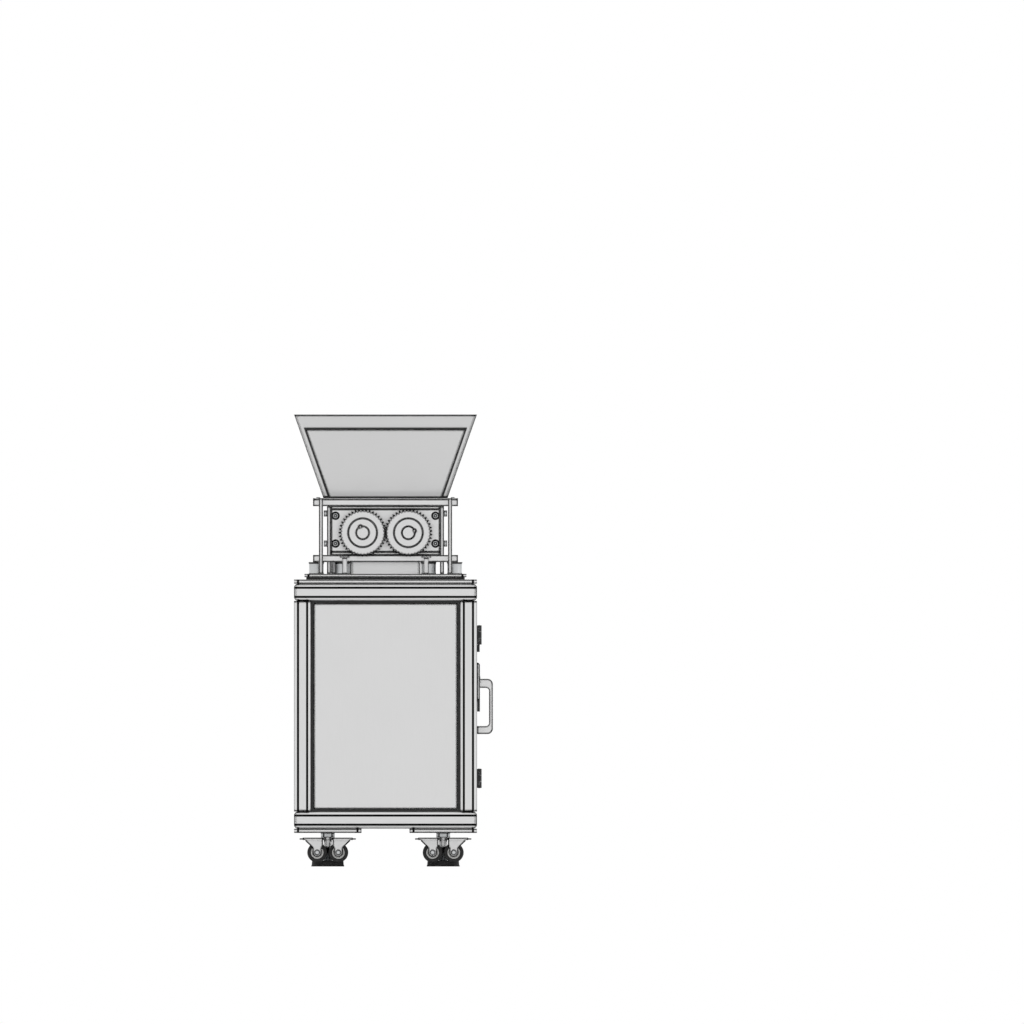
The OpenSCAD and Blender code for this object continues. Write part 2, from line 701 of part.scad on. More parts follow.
// A frame of two cross bars and two side bars
module head_frame(z0, z1, inner) {
    for (y = [front_y, back_y - bar_t]) block([-frame_w / 2, y, z0], [frame_w / 2, y + bar_t, z1]);
    both() block([inner, front_y + bar_t, z0], [frame_w / 2, back_y - bar_t, z1]);
}
module head_frames() color(bright) here() {
    head_frame(low_z0, low_z, side_x);
    head_frame(top_z0, top_z, end_w / 2);
}
module frame_strips() color("darkgray") here()
    for (z = [low_z, end_z1], y = [head_y - end_y, head_y + cavity])
        block([-end_w / 2, y, z], [end_w / 2, y + end_t, z + strip_h]);
module side_plates() color(steel) here()
    both() block([end_w / 2, head_y - end_y, base_z], [side_x, head_y + end_y, top_z0]);
module bearing_seats(y0, y1) for (s = [-1, 1]) rod_y(s * centres / 2, axis_z, y0 - 1, y1 + 1, bearing_r);
module end_plate(y) difference() {
    block([-end_w / 2, y, end_z0], [end_w / 2, y + end_t, end_z1]);
    bearing_seats(y, y + end_t);
}
module end_plates() color(bright) here() for (y = [head_y - end_y, head_y + cavity]) end_plate(y);
module tie_rods() color("gray") here()
    for (x = tie_xs, z = tie_zs) rod_y(x, z, head_y - cavity, head_y + cavity, tie_r);
// A socket head bolt on its washer, pointing away from y along s
module face_bolt(x, z, y, s) translate([x, y, z]) rotate([s * 90, 0, 0]) {
    cylinder(h = 1.5, r = 9.5);
    difference() {
        cylinder(h = 8, r = 6.5);
        translate([0, 0, 4]) cylinder(h = 5, r = 3.4, $fn = 6);
    }
}
module head_bolts() color("gray") here() {
    for (x = tie_xs, z = tie_zs) {
        face_bolt(x, z, head_y - end_y, 1);
        face_bolt(x, z, head_y + end_y, -1);
    }
    both() for (s = [-1, 1], z = [tie_zs[0], tie_zs[1] + 5])
        translate([side_x, head_y + s * (end_y - 14), z]) rotate([0, 90, 0]) cylinder(h = 7, r = 7, $fn = 6);
}
module guard_posts() color(bright) here()
    both() block([post_out / 2 - post_w, front_y - post_d, base_z], [post_out / 2, front_y, flange_z]);
module hold_down_studs() color("gray") here() both() {
    y = front_y - stud_r - seat;
    z = low_z - stud_drop;
    rod_z(stud_w / 2, y, base_z, z - stud_head_h, stud_r);
    rod_z(stud_w / 2, y - 6, z - stud_head_h, z, stud_r * 2);
}
module roller_bearings() color("gray") here()
    for (x = [-centres / 2, centres / 2], s = [-1, 1]) difference() {
        translate([0, head_y, 0]) scale_y(s) {
            rod_y(x, axis_z, cavity, end_y, bearing_r);
            rod_y(x, axis_z, end_y, end_y + flange_t, flange_r);
        }
        rod_y(x, axis_z, head_y - end_y - flange_t - 1, head_y + end_y + flange_t + 1, shaft_r + running);
    }

// Rollers, shafts and gears -----------------------------------------------
pressure = 20;
tip_r = pitch_r + module_mm;
root_r = pitch_r - 1.25 * module_mm;
base_r = pitch_r * cos(pressure);
tooth_w = PI * module_mm / 2 - backlash / 2;
function involute(a) = tan(a) * 180 / PI - a;
// Half the angle that a tooth fills at radius r
function half_tooth(r) = tooth_w / (2 * pitch_r) * 180 / PI + involute(pressure) - involute(acos(base_r / r));
flank_radii = [for (i = [0:3]) base_r + 0.01 + (tip_r - base_r - 0.01) * i / 3];
module gear_2d(phase) polygon([for (t = [0:teeth - 1])
    let (mid = phase + t * 360 / teeth)
    for (p = concat([[root_r, -half_tooth(flank_radii[0]) - 0.3]],
                    [for (r = flank_radii) [r, -half_tooth(r)]],
                    [for (i = [3:-1:0]) [flank_radii[i], half_tooth(flank_radii[i])]],
                    [[root_r, half_tooth(flank_radii[0]) + 0.3]]))
        p[0] * [cos(mid + p[1]), sin(mid + p[1])]]);
shaft_y = gear_y - gear_w - gear_hub_h - 1.6;     // gear end of the shafts
// The square key of shaft i, grown by c to cut its keyway
module key_bar(i, y0, y1) translate([(i * 2 - 1) * centres / 2, 0, axis_z])
    along_y(y0, y1) rotate(key_angles[i]) translate([shaft_r - key_s / 2, -key_s / 2]) square(key_s);
module spur_gear(i) translate([(i * 2 - 1) * centres / 2, 0, axis_z]) difference() {
    union() {
        along_y(gear_y - gear_w, gear_y) gear_2d(i * 180 / teeth);
        rod_y(0, 0, gear_y - gear_w - gear_hub_h, gear_y, gear_hub_r);
    }
    rod_y(0, 0, gear_y - gear_w - gear_hub_h - 1, gear_y + 1, shaft_r);
}
module keyed_gear(i) color(bright) here() difference() {
    spur_gear(i);
    key_bar(i, gear_y - gear_w - gear_hub_h - 1, gear_y + 1);
}
module drive_gear() keyed_gear(0);
module driven_gear() keyed_gear(1);
module shaft(i, y1) color("lightgray") here() {
    difference() {
        rod_y((i * 2 - 1) * centres / 2, axis_z, shaft_y, y1, shaft_r);
        key_bar(i, shaft_y - 1, gear_y);
    }
    key_bar(i, gear_y - gear_w - gear_hub_h, gear_y);
}
module drive_shaft() shaft(0, shaft_end);
module driven_shaft() shaft(1, back_y + 4);
module roller(i) color("#9a9a9a") here() difference() {
    rod_y((i * 2 - 1) * centres / 2, axis_z, head_y - roller_l / 2, head_y + roller_l / 2, roller_r);
    rod_y((i * 2 - 1) * centres / 2, axis_z, head_y - roller_l, head_y + roller_l, shaft_r);
}
module drive_roller() roller(0);
module driven_roller() roller(1);

// Guides that lead the grain from the hopper on to the rollers
guide_x = centres / 2 + (roller_r + guide_clear) * sin(guide_angle);
guide_z = axis_z + (roller_r + guide_clear) * cos(guide_angle);
module feed_guides() color(steel) here() both()
    along_y(head_y - cavity + seat, head_y + cavity - seat)
        polygon([[end_w / 2, top_z - 1], [end_w / 2, top_z - 1 - 1.6 * sheet_metal], [guide_x + 1, guide_z],
                 [guide_x, guide_z + sheet_metal]]);
// Sloping plates under the rollers, and the duct down into the cabinet
chute_z = low_z + chute_rise;
module discharge_chute() color(bright) here() {
    ya = head_y - cavity + seat;
    yb = head_y + cavity - seat;
    end_top = axis_z - roller_r - chute_clear;
    both() {
        along_y(ya, yb) polygon([[end_w / 2, chute_z], [end_w / 2, chute_z - 1.3 * sheet_metal],
            [duct_x + sheet_metal * 0.4, low_z0 - 1], [duct_x - sheet_metal, low_z0]]);
        block([duct_x - sheet_metal, ya, duct_z0], [duct_x, yb, low_z0 - 1]);
    }
    for (y = [ya, yb - sheet_metal]) {
        block([-duct_x + sheet_metal, y, duct_z0], [duct_x - sheet_metal, y + sheet_metal, low_z0]);
        along_y(y, y + sheet_metal) polygon([[-duct_x + sheet_metal, low_z0], [duct_x - sheet_metal, low_z0],
            [duct_x - sheet_metal + chute_lean, end_top], [-duct_x + sheet_metal - chute_lean, end_top]]);
    }
}

// Hopper ----------------------------------------------------------------
// Solid pyramid frustum of the hopper, shrunk by c on every side
module frustum(c, grow) intersection() {
    along_y(head_y - foot_d / 2 - run - 9, head_y + foot_d / 2 + run + 9)
        polygon([[-foot_w / 2 + c + lean * grow, flange_z - grow],
                 [foot_w / 2 - c - lean * grow, flange_z - grow],
                 [mouth_w / 2 - c + lean * grow, mouth_z + grow],
                 [-mouth_w / 2 + c - lean * grow, mouth_z + grow]]);
    along_x(-mouth_w / 2 - 9, mouth_w / 2 + 9)
        polygon([[head_y - foot_d / 2 + c + lean * grow, flange_z - grow],
                 [head_y + foot_d / 2 - c - lean * grow, flange_z - grow],
                 [head_y + foot_d / 2 + run - c + lean * grow, mouth_z + grow],
                 [head_y - foot_d / 2 - run + c - lean * grow, mouth_z + grow]]);
}
hopper_c = hopper_t * sqrt(1 + lean * lean);
wedge = 15;                                   // depth of each mitre inside the hopper's foot
module hopper_shell() difference() {
    frustum(0, 0);
    frustum(hopper_c, 1);
}
// Keeps one wall of the shell: a wedge between the mitres of its two corners
module wall_wedge(half_a, half_b) translate([0, 0, flange_z - 1]) linear_extrude(hopper_h + 2)
    polygon([[-half_a + wedge, -half_b + wedge], [half_a - wedge, -half_b + wedge],
             [half_a + run + 9, -half_b - run - 9], [-half_a - run - 9, -half_b - run - 9]]);
module hopper() color(bright) here() {
    for (s = [-1, 1]) intersection() {
        hopper_shell();
        translate([0, head_y, 0]) scale_y(-s) wall_wedge(foot_w / 2, foot_d / 2);
    }
    for (s = [-1, 1]) intersection() {
        hopper_shell();
        translate([0, head_y, 0]) rotate([0, 0, s * 90]) wall_wedge(foot_d / 2, foot_w / 2);
    }
    for (s = [-1, 1]) translate([0, head_y, 0]) scale_y(s)
        block([-frame_w / 2, foot_d / 2 - 12, top_z], [frame_w / 2, head_l, flange_z]);
    both() block([end_w / 2, head_y - foot_d / 2 + 12, top_z],
                 [frame_w / 2, head_y + foot_d / 2 - 12, flange_z]);
}
// The flat panel on the hopper's front wall
module hopper_panel() color("#cfcfcf") here() intersection() {
    along_x(-mouth_w, mouth_w) {
        p = [head_y - foot_d / 2, flange_z];
        q = [head_y - foot_d / 2 - run, mouth_z];
        d = hpanel_t * sqrt(1 + lean * lean);
        polygon([p, q, q - [d, 0], p - [d, 0]]);
    }
    along_y(head_y - foot_d - run, head_y)
        polygon([[-foot_w / 2 + panel_side, flange_z], [foot_w / 2 - panel_side, flange_z],
                 [mouth_w / 2 - panel_side - lean * panel_top, mouth_z - panel_top],
                 [-mouth_w / 2 + panel_side + lean * panel_top, mouth_z - panel_top]]);
}

// Drive -----------------------------------------------------------------
module shaft_coupling() color("darkgray") here() {
    y0 = shaft_end - spider_l / 2 - hub_l;
    y1 = shaft_end + spider_l / 2 + hub_l;
    difference() {
        union() {
            rod_y(drive_x, axis_z, y0, y0 + hub_l, coupling_r);
            rod_y(drive_x, axis_z, y0 + hub_l, y1 - hub_l, coupling_r - 2);
            rod_y(drive_x, axis_z, y1 - hub_l, y1, coupling_r);
        }
        rod_y(drive_x, axis_z, y0 - 1, shaft_end, shaft_r);
        rod_y(drive_x, axis_z, shaft_end - 1, y1 + 1, out_r);
    }
    rod_y(drive_x, axis_z, shaft_end, case_y + out_l, out_r);
}
module motor_bracket() color(steel) here() {
    wide = case_r + bracket_edge;
    difference() {
        block([drive_x - wide, bracket_y, base_z], [drive_x + wide, case_y, axis_z + case_r]);
        rod_y(drive_x, axis_z, bracket_y - 1, case_y + 1, out_r + 10);
    }
    block([drive_x - wide, case_y, base_z], [drive_x + wide, case_y + bracket_foot, base_z + bracket_foot_t]);
    y1 = motor_y0 + motor_l - saddle_end;
    difference() {
        block([drive_x - saddle_w, y1 - saddle_d, base_z],
              [drive_x + saddle_w, y1, axis_z - motor_r + saddle_rise]);
        rod_y(drive_x, axis_z, motor_y0, y1 + 1, motor_r);
    }
}
module gearmotor() color("#6f7478") here() difference() {
    union() {
        rod_y(drive_x, axis_z, case_y, motor_y0, case_r);
        rod_y(drive_x, axis_z, motor_y0, motor_y0 + motor_l, motor_r);
    }
    rod_y(drive_x, axis_z, bracket_y, case_y + out_l + 2, out_r + running);
}
module junction_box() color("#5f6468") here() difference() {
    block([box_x, box_y0, box_z0], [box_x + jbox_w, box_y0 + jbox_l, box_z0 + jbox_h]);
    rod_y(drive_x, axis_z, motor_y0, motor_y0 + motor_l, motor_r);
}
module cable_gland() color(rubber) here()
    translate([box_x + gland_x, box_y0 + jbox_l + gland_l, box_z0 + jbox_h / 2]) rotate([90, 0, 0])
    difference() {
        union() {
            cylinder(h = gland_l, r = gland_bore + gland_wall);
            translate([0, 0, gland_l - gland_foot])
                cylinder(h = gland_foot, r = gland_bore + gland_wall + gland_hex, $fn = 6);
            translate([0, 0, (gland_l - gland_foot - gland_nut) / 2])
                cylinder(h = gland_nut, r = gland_bore + gland_wall + gland_hex, $fn = 6);
        }
        translate([0, 0, -1]) cylinder(h = gland_l + 2, r = gland_bore);
    }

frame_posts();
frame_rails();
side_panels();
panel_gaskets();
cabinet_floor();
table_plate();
base_sheet();
base_plate();
door_panel();
door_stop();
door_magnet();
door_handle();
latch_plate();
latch_paddle();
hinge_frame_leaves();
hinge_door_leaves();
hinge_pins();
caster_plates();
vibration_mounts();
head_frames();
frame_strips();
side_plates();
end_plates();
tie_rods();
head_bolts();
guard_posts();
hold_down_studs();
roller_bearings();
drive_gear();
driven_gear();
drive_shaft();
driven_shaft();
drive_roller();
driven_roller();
feed_guides();
discharge_chute();
hopper();
hopper_panel();
shaft_coupling();
motor_bracket();
gearmotor();
junction_box();
cable_gland();
caster_fork(0);  // caster_fork_1
caster_wheels(0, -1);  // caster_wheels_1_left
caster_wheels(0, 1);  // caster_wheels_1_right
level_foot(0);  // level_foot_1
caster_fork(1);  // caster_fork_2
caster_wheels(1, -1);  // caster_wheels_2_left
caster_wheels(1, 1);  // caster_wheels_2_right
level_foot(1);  // level_foot_2
caster_fork(2);  // caster_fork_3
caster_wheels(2, -1);  // caster_wheels_3_left
caster_wheels(2, 1);  // caster_wheels_3_right
level_foot(2);  // level_foot_3
caster_fork(3);  // caster_fork_4
caster_wheels(3, -1);  // caster_wheels_4_left
caster_wheels(3, 1);  // caster_wheels_4_right
level_foot(3);  // level_foot_4
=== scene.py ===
"""Looks of a two-roller grain mill: finishes, softened edges and detail round its fixed CAD frame."""
import json
import math

import bmesh
import bpy
from mathutils import Matrix, Vector


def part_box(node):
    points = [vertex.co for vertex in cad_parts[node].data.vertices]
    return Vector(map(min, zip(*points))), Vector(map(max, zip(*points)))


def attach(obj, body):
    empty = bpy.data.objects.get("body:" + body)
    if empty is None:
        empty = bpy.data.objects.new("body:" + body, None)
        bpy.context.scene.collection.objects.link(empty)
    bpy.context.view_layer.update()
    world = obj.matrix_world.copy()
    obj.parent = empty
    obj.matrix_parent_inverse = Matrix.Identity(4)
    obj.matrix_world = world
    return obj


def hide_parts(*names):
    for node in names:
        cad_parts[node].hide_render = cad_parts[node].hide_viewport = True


bl_info = {
    "name": "Grain Mill Looks",
    "version": (1, 0, 0),
    "blender": (4, 5, 0),
    "location": "View3D > Sidebar > Grain Mill",
    "description": "Finishes and details a two-roller grain mill on a tube cabinet",
    "category": "Object",
}

MM = 0.001
# Sizes in millimetres that the boxes of the CAD nodes don't give
TUBE, TUBE_CORNER = 38.1, 8.9
CASTER_PLATE, CASTER_PLATE_T, PLATE_CORNER = 150.0, 9.5, 9.0
TOOTH_HEIGHT = 5.715
AXLE_R, AXLE_L, FORK_FACE = 3.98, 85.0, 40.3
WHEEL_W, WHEEL_Y = 14.0, 28.0
THUMB_Z, THUMB_R, THUMB_H = 21.0, 13.9, 6.8
SCREW_R, SCREW_TOP, THREAD_PITCH, THREAD_TURNS = 5.95, 39.0, 1.5, 20
MOUNT_R, MOUNT_OUT, MOUNT_IN = 17.3, 153.5, 95.5
FLANGE_BOLT_R, CASE_BOLT_R = 32.0, 46.0
HUB_R, HUB_L, COUPLING_L = 26.8, 15.0, 38.0
SHAFT_BORE_R = 11.1
CASE_R, CASE_L, CASE_BOLTS_AT = 62.0, 61.5, 57.5
LOCK_RISE, HINGE_LEAF_H = 52.0, 42.5
# Share of the teeth's colour that old grease takes
GREASE = 0.8
# Share of the bevel's radius within which it turns a square edge's normal by 16 degrees
BEVEL_SHARE = 0.36
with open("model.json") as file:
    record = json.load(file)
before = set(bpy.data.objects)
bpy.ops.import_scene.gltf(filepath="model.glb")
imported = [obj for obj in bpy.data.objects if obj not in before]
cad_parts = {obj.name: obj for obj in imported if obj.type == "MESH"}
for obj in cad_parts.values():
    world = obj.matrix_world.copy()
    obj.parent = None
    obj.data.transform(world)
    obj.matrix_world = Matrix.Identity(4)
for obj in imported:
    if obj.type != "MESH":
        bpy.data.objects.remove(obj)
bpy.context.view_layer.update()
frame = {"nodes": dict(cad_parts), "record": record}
CAD_NODES = frame["nodes"]
BODY_OF = {n: b for b, names in frame["record"]["behaviour"]["bodies"].items() for n in names}
X, Y, Z = Vector((1, 0, 0)), Vector((0, 1, 0)), Vector((0, 0, 1))
CORNERS = (1, 2, 3, 4)
SIDES = ("left", "right")


def corners_of(node):
    """Low and high corner of a CAD node's box."""
    return [Vector(corner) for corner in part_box(node)]


def middle(node):
    """Centre of a CAD node's box."""
    low, high = corners_of(node)
    return (low + high) / 2


def srgb(code, alpha=1.0):
    """A hex colour as Blender's linear colour."""
    values = [int(code[i:i + 2], 16) / 255 for i in (1, 3, 5)]
    linear = [v / 12.92 if v <= 0.04045 else ((v + 0.055) / 1.055) ** 2.4 for v in values]
    return (*linear, alpha)


# Settings ----------------------------------------------------------------


def colour(name, about, code):
    """A colour property with its default as a hex value."""
    return bpy.props.FloatVectorProperty(
        name=name, description=about, subtype="COLOR", size=4, min=0, max=1, default=srgb(code))


def length(name, about, value, top=0.1):
    """A length property in metres."""
    return bpy.props.FloatProperty(
        name=name, description=about, default=value, min=0, max=top, subtype="DISTANCE", unit="LENGTH")


class MillColours(bpy.types.PropertyGroup):
    """Colours of the mill's finishes"""
    tube: colour("Tube", "Ground stainless steel of the frame's tubes", "#dcdcdc")
    sheet: colour("Sheet", "Brushed stainless steel of the panels and the door", "#dcdcdc")
    plate: colour("Plate", "Ground steel plate of the head and the table", "#dedede")
    # a little darker than the sheet: painted shade for the hopper's tilted walls, not a different steel
    hopper: colour("Hopper", "Brushed stainless steel of the hopper", "#d8d8d8")
    gear: colour("Gear", "Hobbed steel of the gears", "#dddddd")
    shaft: colour("Shaft", "Ground steel of the shafts", "#dadada")
    roller: colour("Roller", "Hardened steel of the rollers", "#8e8f90")
    bolt: colour("Bolt", "Zinc-plated steel of the fasteners", "#c6c8c9")
    fork: colour("Fork", "Zinc-plated steel of the forks and stems", "#d6d6d6")
    casting: colour("Casting", "Machined cast iron", "#6f7274")
    rubber: colour("Rubber", "Black rubber of the channels, pads and tyres", "#1c1c1c")
    nylon: colour("Nylon", "Black glass-filled nylon of the hinges and the paddle", "#1f1f20")
    rim: colour("Rim", "Pale nylon of the wheel centres", "#dcdcda")
    paint: colour("Paint", "Grey enamel of the gearmotor", "#7d8387")
    edge: colour("Edge", "Dark line along the edges of the metal", "#141414")


class MillSizes(bpy.types.PropertyGroup):
    """Sizes of the visible details"""
    softened: length("Softened edge", "Width of the broken edge on plate and bar", 0.0007)
    edge_line: length("Edge line", "Width of the dark line along an edge", 0.0031)
    seal: length("Hopper seal", "Width of the seal round the hopper's panel", 0.0048)
    tyre: length("Tyre", "Thickness of a caster's tyre", 0.0085)
    fin: length("Fin", "Height of the motor's cooling fins", 0.0085)
    fins: bpy.props.IntProperty(
        name="Fins", description="Cooling fins round the motor", default=44, min=8, max=90)
    flutes: bpy.props.IntProperty(
        name="Flutes", description="Flutes round a roller", default=90, min=20, max=160)
    twist: bpy.props.FloatProperty(
        name="Twist", description="Turn of the flutes along a roller",
        default=math.radians(18), min=0, max=math.pi, subtype="ANGLE", unit="ROTATION")


class StageSettings(bpy.types.PropertyGroup):
    """Camera, floor and light"""
    view_width: length("View width", "Width that the camera takes in", 2.2741, 10)
    view_x: bpy.props.FloatProperty(
        name="View X", description="Camera's place along X", default=0.2632, unit="LENGTH")
    view_z: bpy.props.FloatProperty(
        name="View Z", description="Camera's height", default=0.7873, unit="LENGTH")
    floor: colour("Floor", "Colour of the floor", "#f2f2f2")
    ambient: bpy.props.FloatProperty(
        name="Ambient", description="Light from all sides", default=0.9, min=0, max=2)
    key: bpy.props.FloatProperty(
        name="Key", description="Power of the main lamp in watts", default=16, min=0, max=500)


# Materials ---------------------------------------------------------------


def add_node(tree, kind, links=None, **settings):
    """Adds a node; links maps its inputs to sockets or values, settings are its attributes."""
    made = tree.nodes.new(kind)
    for key, value in settings.items():
        setattr(made, key, value)
    for key, value in (links or {}).items():
        if isinstance(value, bpy.types.NodeSocket):
            tree.links.new(value, made.inputs[key])
        else:
            made.inputs[key].default_value = value
    return made


def start_material(name):
    """An empty node material with its tree, shader and Object coordinates."""
    made = bpy.data.materials.new(name)
    made.use_nodes = True
    tree = made.node_tree
    tree.nodes.clear()
    shader = add_node(tree, "ShaderNodeBsdfPrincipled")
    output = add_node(tree, "ShaderNodeOutputMaterial")
    tree.links.new(shader.outputs["BSDF"], output.inputs["Surface"])
    place = add_node(tree, "ShaderNodeTexCoord").outputs["Object"]
    return made, tree, shader, place


def shaded(base, amount):
    """A colour made lighter or darker by a share."""
    return (*[min(1.0, c * amount) for c in base[:3]], 1.0)


def varied(tree, pattern, base, low, high):
    """A colour that goes from a darker to a lighter shade with a pattern."""
    shades = {0: pattern, 6: shaded(base, low), 7: shaded(base, high)}
    return add_node(tree, "ShaderNodeMix", shades, data_type="RGBA").outputs[2]


def lined(tree, mixed, edge, *masks):
    """Lays the dark colour of the lines over a finish where a mask is 1."""
    for mask in masks:
        mixed = add_node(
            tree, "ShaderNodeMix", {0: mask, 6: mixed, 7: edge}, data_type="RGBA").outputs[2]
    return mixed


def surfaced(tree, shader, mixed, gloss_pattern, rough, relief, depth, distance):
    """Puts a colour on a shader, and patterns in its roughness and in its relief."""
    tree.links.new(mixed, shader.inputs["Base Color"])
    gloss = add_node(
        tree, "ShaderNodeMapRange", {"Value": gloss_pattern, 3: rough[0], 4: rough[1]})
    tree.links.new(gloss.outputs["Result"], shader.inputs["Roughness"])
    bump = add_node(
        tree, "ShaderNodeBump", {"Height": relief, "Strength": depth, "Distance": distance})
    tree.links.new(bump.outputs["Normal"], shader.inputs["Normal"])


def edge_mask(tree, width):
    """1 along sharp edges within a width, 0 on open faces."""
    soft = add_node(
        tree, "ShaderNodeBevel", {"Radius": width / BEVEL_SHARE}, samples=16).outputs["Normal"]
    flat = add_node(tree, "ShaderNodeNewGeometry").outputs["Normal"]
    facing = add_node(
        tree, "ShaderNodeVectorMath", {0: soft, 1: flat}, operation="DOT_PRODUCT").outputs["Value"]
    return add_node(tree, "ShaderNodeMapRange", {"Value": facing, 1: 0.985, 2: 0.96}).outputs["Result"]


def fold_mask(tree, place, axis, centre, spacing, offset, width):
    """1 on lines across an axis: at an offset to either side of two places, spaced about a centre."""
    value = add_node(tree, "ShaderNodeSeparateXYZ", {0: place}).outputs[axis]
    for shift in (centre, spacing, offset):
        moved = add_node(tree, "ShaderNodeMath", {0: value, 1: shift}, operation="SUBTRACT").outputs[0]
        value = add_node(tree, "ShaderNodeMath", {0: moved}, operation="ABSOLUTE").outputs[0]
    fade = 0.2 * MM
    ends = {"Value": value, 1: width / 2 + fade, 2: width / 2 - fade}
    return add_node(tree, "ShaderNodeMapRange", ends).outputs["Result"]


def brushed_metal(
        name, base, edge, edge_width, along, grain_mm=0.9, rough=0.34, spread=0.06, depth=0.05,
        folds=(), rims=False):
    """Metal with a brushed grain: streaks 40 times as long as they are wide run along an axis.
    With rims, it darkens where a rounded side turns away.
    The grain is drawn coarser than the real 0.1 mm scratches, so that it shows."""
    made, tree, shader, place = start_material(name)
    across = 1 / (grain_mm * MM)
    stretch = [across] * 3
    stretch["XYZ".index(along)] = across / 40
    moved = add_node(tree, "ShaderNodeMapping", {"Vector": place, "Scale": stretch}).outputs["Vector"]
    streak = add_node(
        tree, "ShaderNodeTexNoise", {"Vector": moved, "Scale": 1.0, "Detail": 3.0}).outputs["Fac"]
    cloud = add_node(
        tree, "ShaderNodeTexNoise", {"Vector": place, "Scale": 7.0, "Detail": 2.0}).outputs["Fac"]
    grained = varied(tree, streak, base, 1 - spread, 1 + spread)
    worn = varied(tree, cloud, base, 1 - spread / 2, 1 + spread / 2)
    mixed = add_node(
        tree, "ShaderNodeMix", {0: 0.5, 6: grained, 7: worn}, data_type="RGBA").outputs[2]
    masks = [edge_mask(tree, edge_width)] if edge_width else []
    masks += [fold_mask(tree, place, *fold, edge_width * 1.6) for fold in folds]
    mixed = lined(tree, mixed, edge, *masks)
    surfaced(tree, shader, mixed, streak, (rough - 0.07, rough + 0.09), streak, depth, 0.2 * MM)
    shader.inputs["Metallic"].default_value = 1.0
    if rims:
        shader.inputs["Specular Tint"].default_value = shaded(edge, 1)
    return made


def turned_metal(name, base, edge, edge_width, centre, root, ring_mm=1.3, rough=0.3):
    """Gear steel faced on a lathe: fine rings round an axis along Y, drawn coarse enough to show.
    The hobbed teeth, which lie past the root radius, are dark with grease."""
    made, tree, shader, place = start_material(name)
    moved = add_node(
        tree, "ShaderNodeMapping", {"Vector": place, "Location": [-c for c in centre]}).outputs["Vector"]
    flat = add_node(
        tree, "ShaderNodeVectorMath", {0: moved, 1: (1, 0, 1)}, operation="MULTIPLY").outputs["Vector"]
    far = add_node(tree, "ShaderNodeVectorMath", {0: flat}, operation="LENGTH").outputs["Value"]
    per_ring = 2 * math.pi / (ring_mm * MM)
    turns = add_node(tree, "ShaderNodeMath", {0: far, 1: per_ring}, operation="MULTIPLY").outputs[0]
    wave = add_node(tree, "ShaderNodeMath", {0: turns}, operation="SINE").outputs[0]
    rings = add_node(tree, "ShaderNodeMapRange", {"Value": wave, 1: -1.0, 2: 1.0}).outputs["Result"]
    speck = add_node(
        tree, "ShaderNodeTexNoise", {"Vector": place, "Scale": 260.0, "Detail": 3.0}).outputs["Fac"]
    ringed = varied(tree, rings, base, 0.96, 1.03)
    mixed = add_node(
        tree, "ShaderNodeMix", {0: speck, 6: shaded(base, 0.95), 7: ringed}, data_type="RGBA").outputs[2]
    teeth = {"Value": far, 1: root - 0.2 * MM, 2: root + 0.6 * MM, 4: GREASE}
    greasy = add_node(tree, "ShaderNodeMapRange", teeth).outputs["Result"]
    mixed = lined(tree, mixed, edge, greasy, edge_mask(tree, edge_width))
    surfaced(tree, shader, mixed, speck, (rough - 0.05, rough + 0.1), rings, 0.12, 0.1 * MM)
    shader.inputs["Metallic"].default_value = 1.0
    return made


def speckled(
        name, base, rough, grain_mm, depth, spread=0.2, metallic=0.0, coat=0.0, edge=None,
        edge_width=0):
    """Moulded, cast or painted surface with a fine random grain."""
    made, tree, shader, place = start_material(name)
    scale = 1 / (grain_mm * MM)
    grain = add_node(
        tree, "ShaderNodeTexNoise", {"Vector": place, "Scale": scale, "Detail": 4.0}).outputs["Fac"]
    cloud = add_node(
        tree, "ShaderNodeTexNoise", {"Vector": place, "Scale": 18.0, "Detail": 3.0}).outputs["Fac"]
    mixed = varied(tree, cloud, base, 1 - spread, 1 + spread)
    if edge_width:
        mixed = lined(tree, mixed, edge, edge_mask(tree, edge_width))
    surfaced(tree, shader, mixed, grain, (rough - 0.08, rough + 0.08), grain, depth, 0.3 * MM)
    shader.inputs["Metallic"].default_value = metallic
    shader.inputs["Coat Weight"].default_value = coat
    return made


MATERIALS = {}


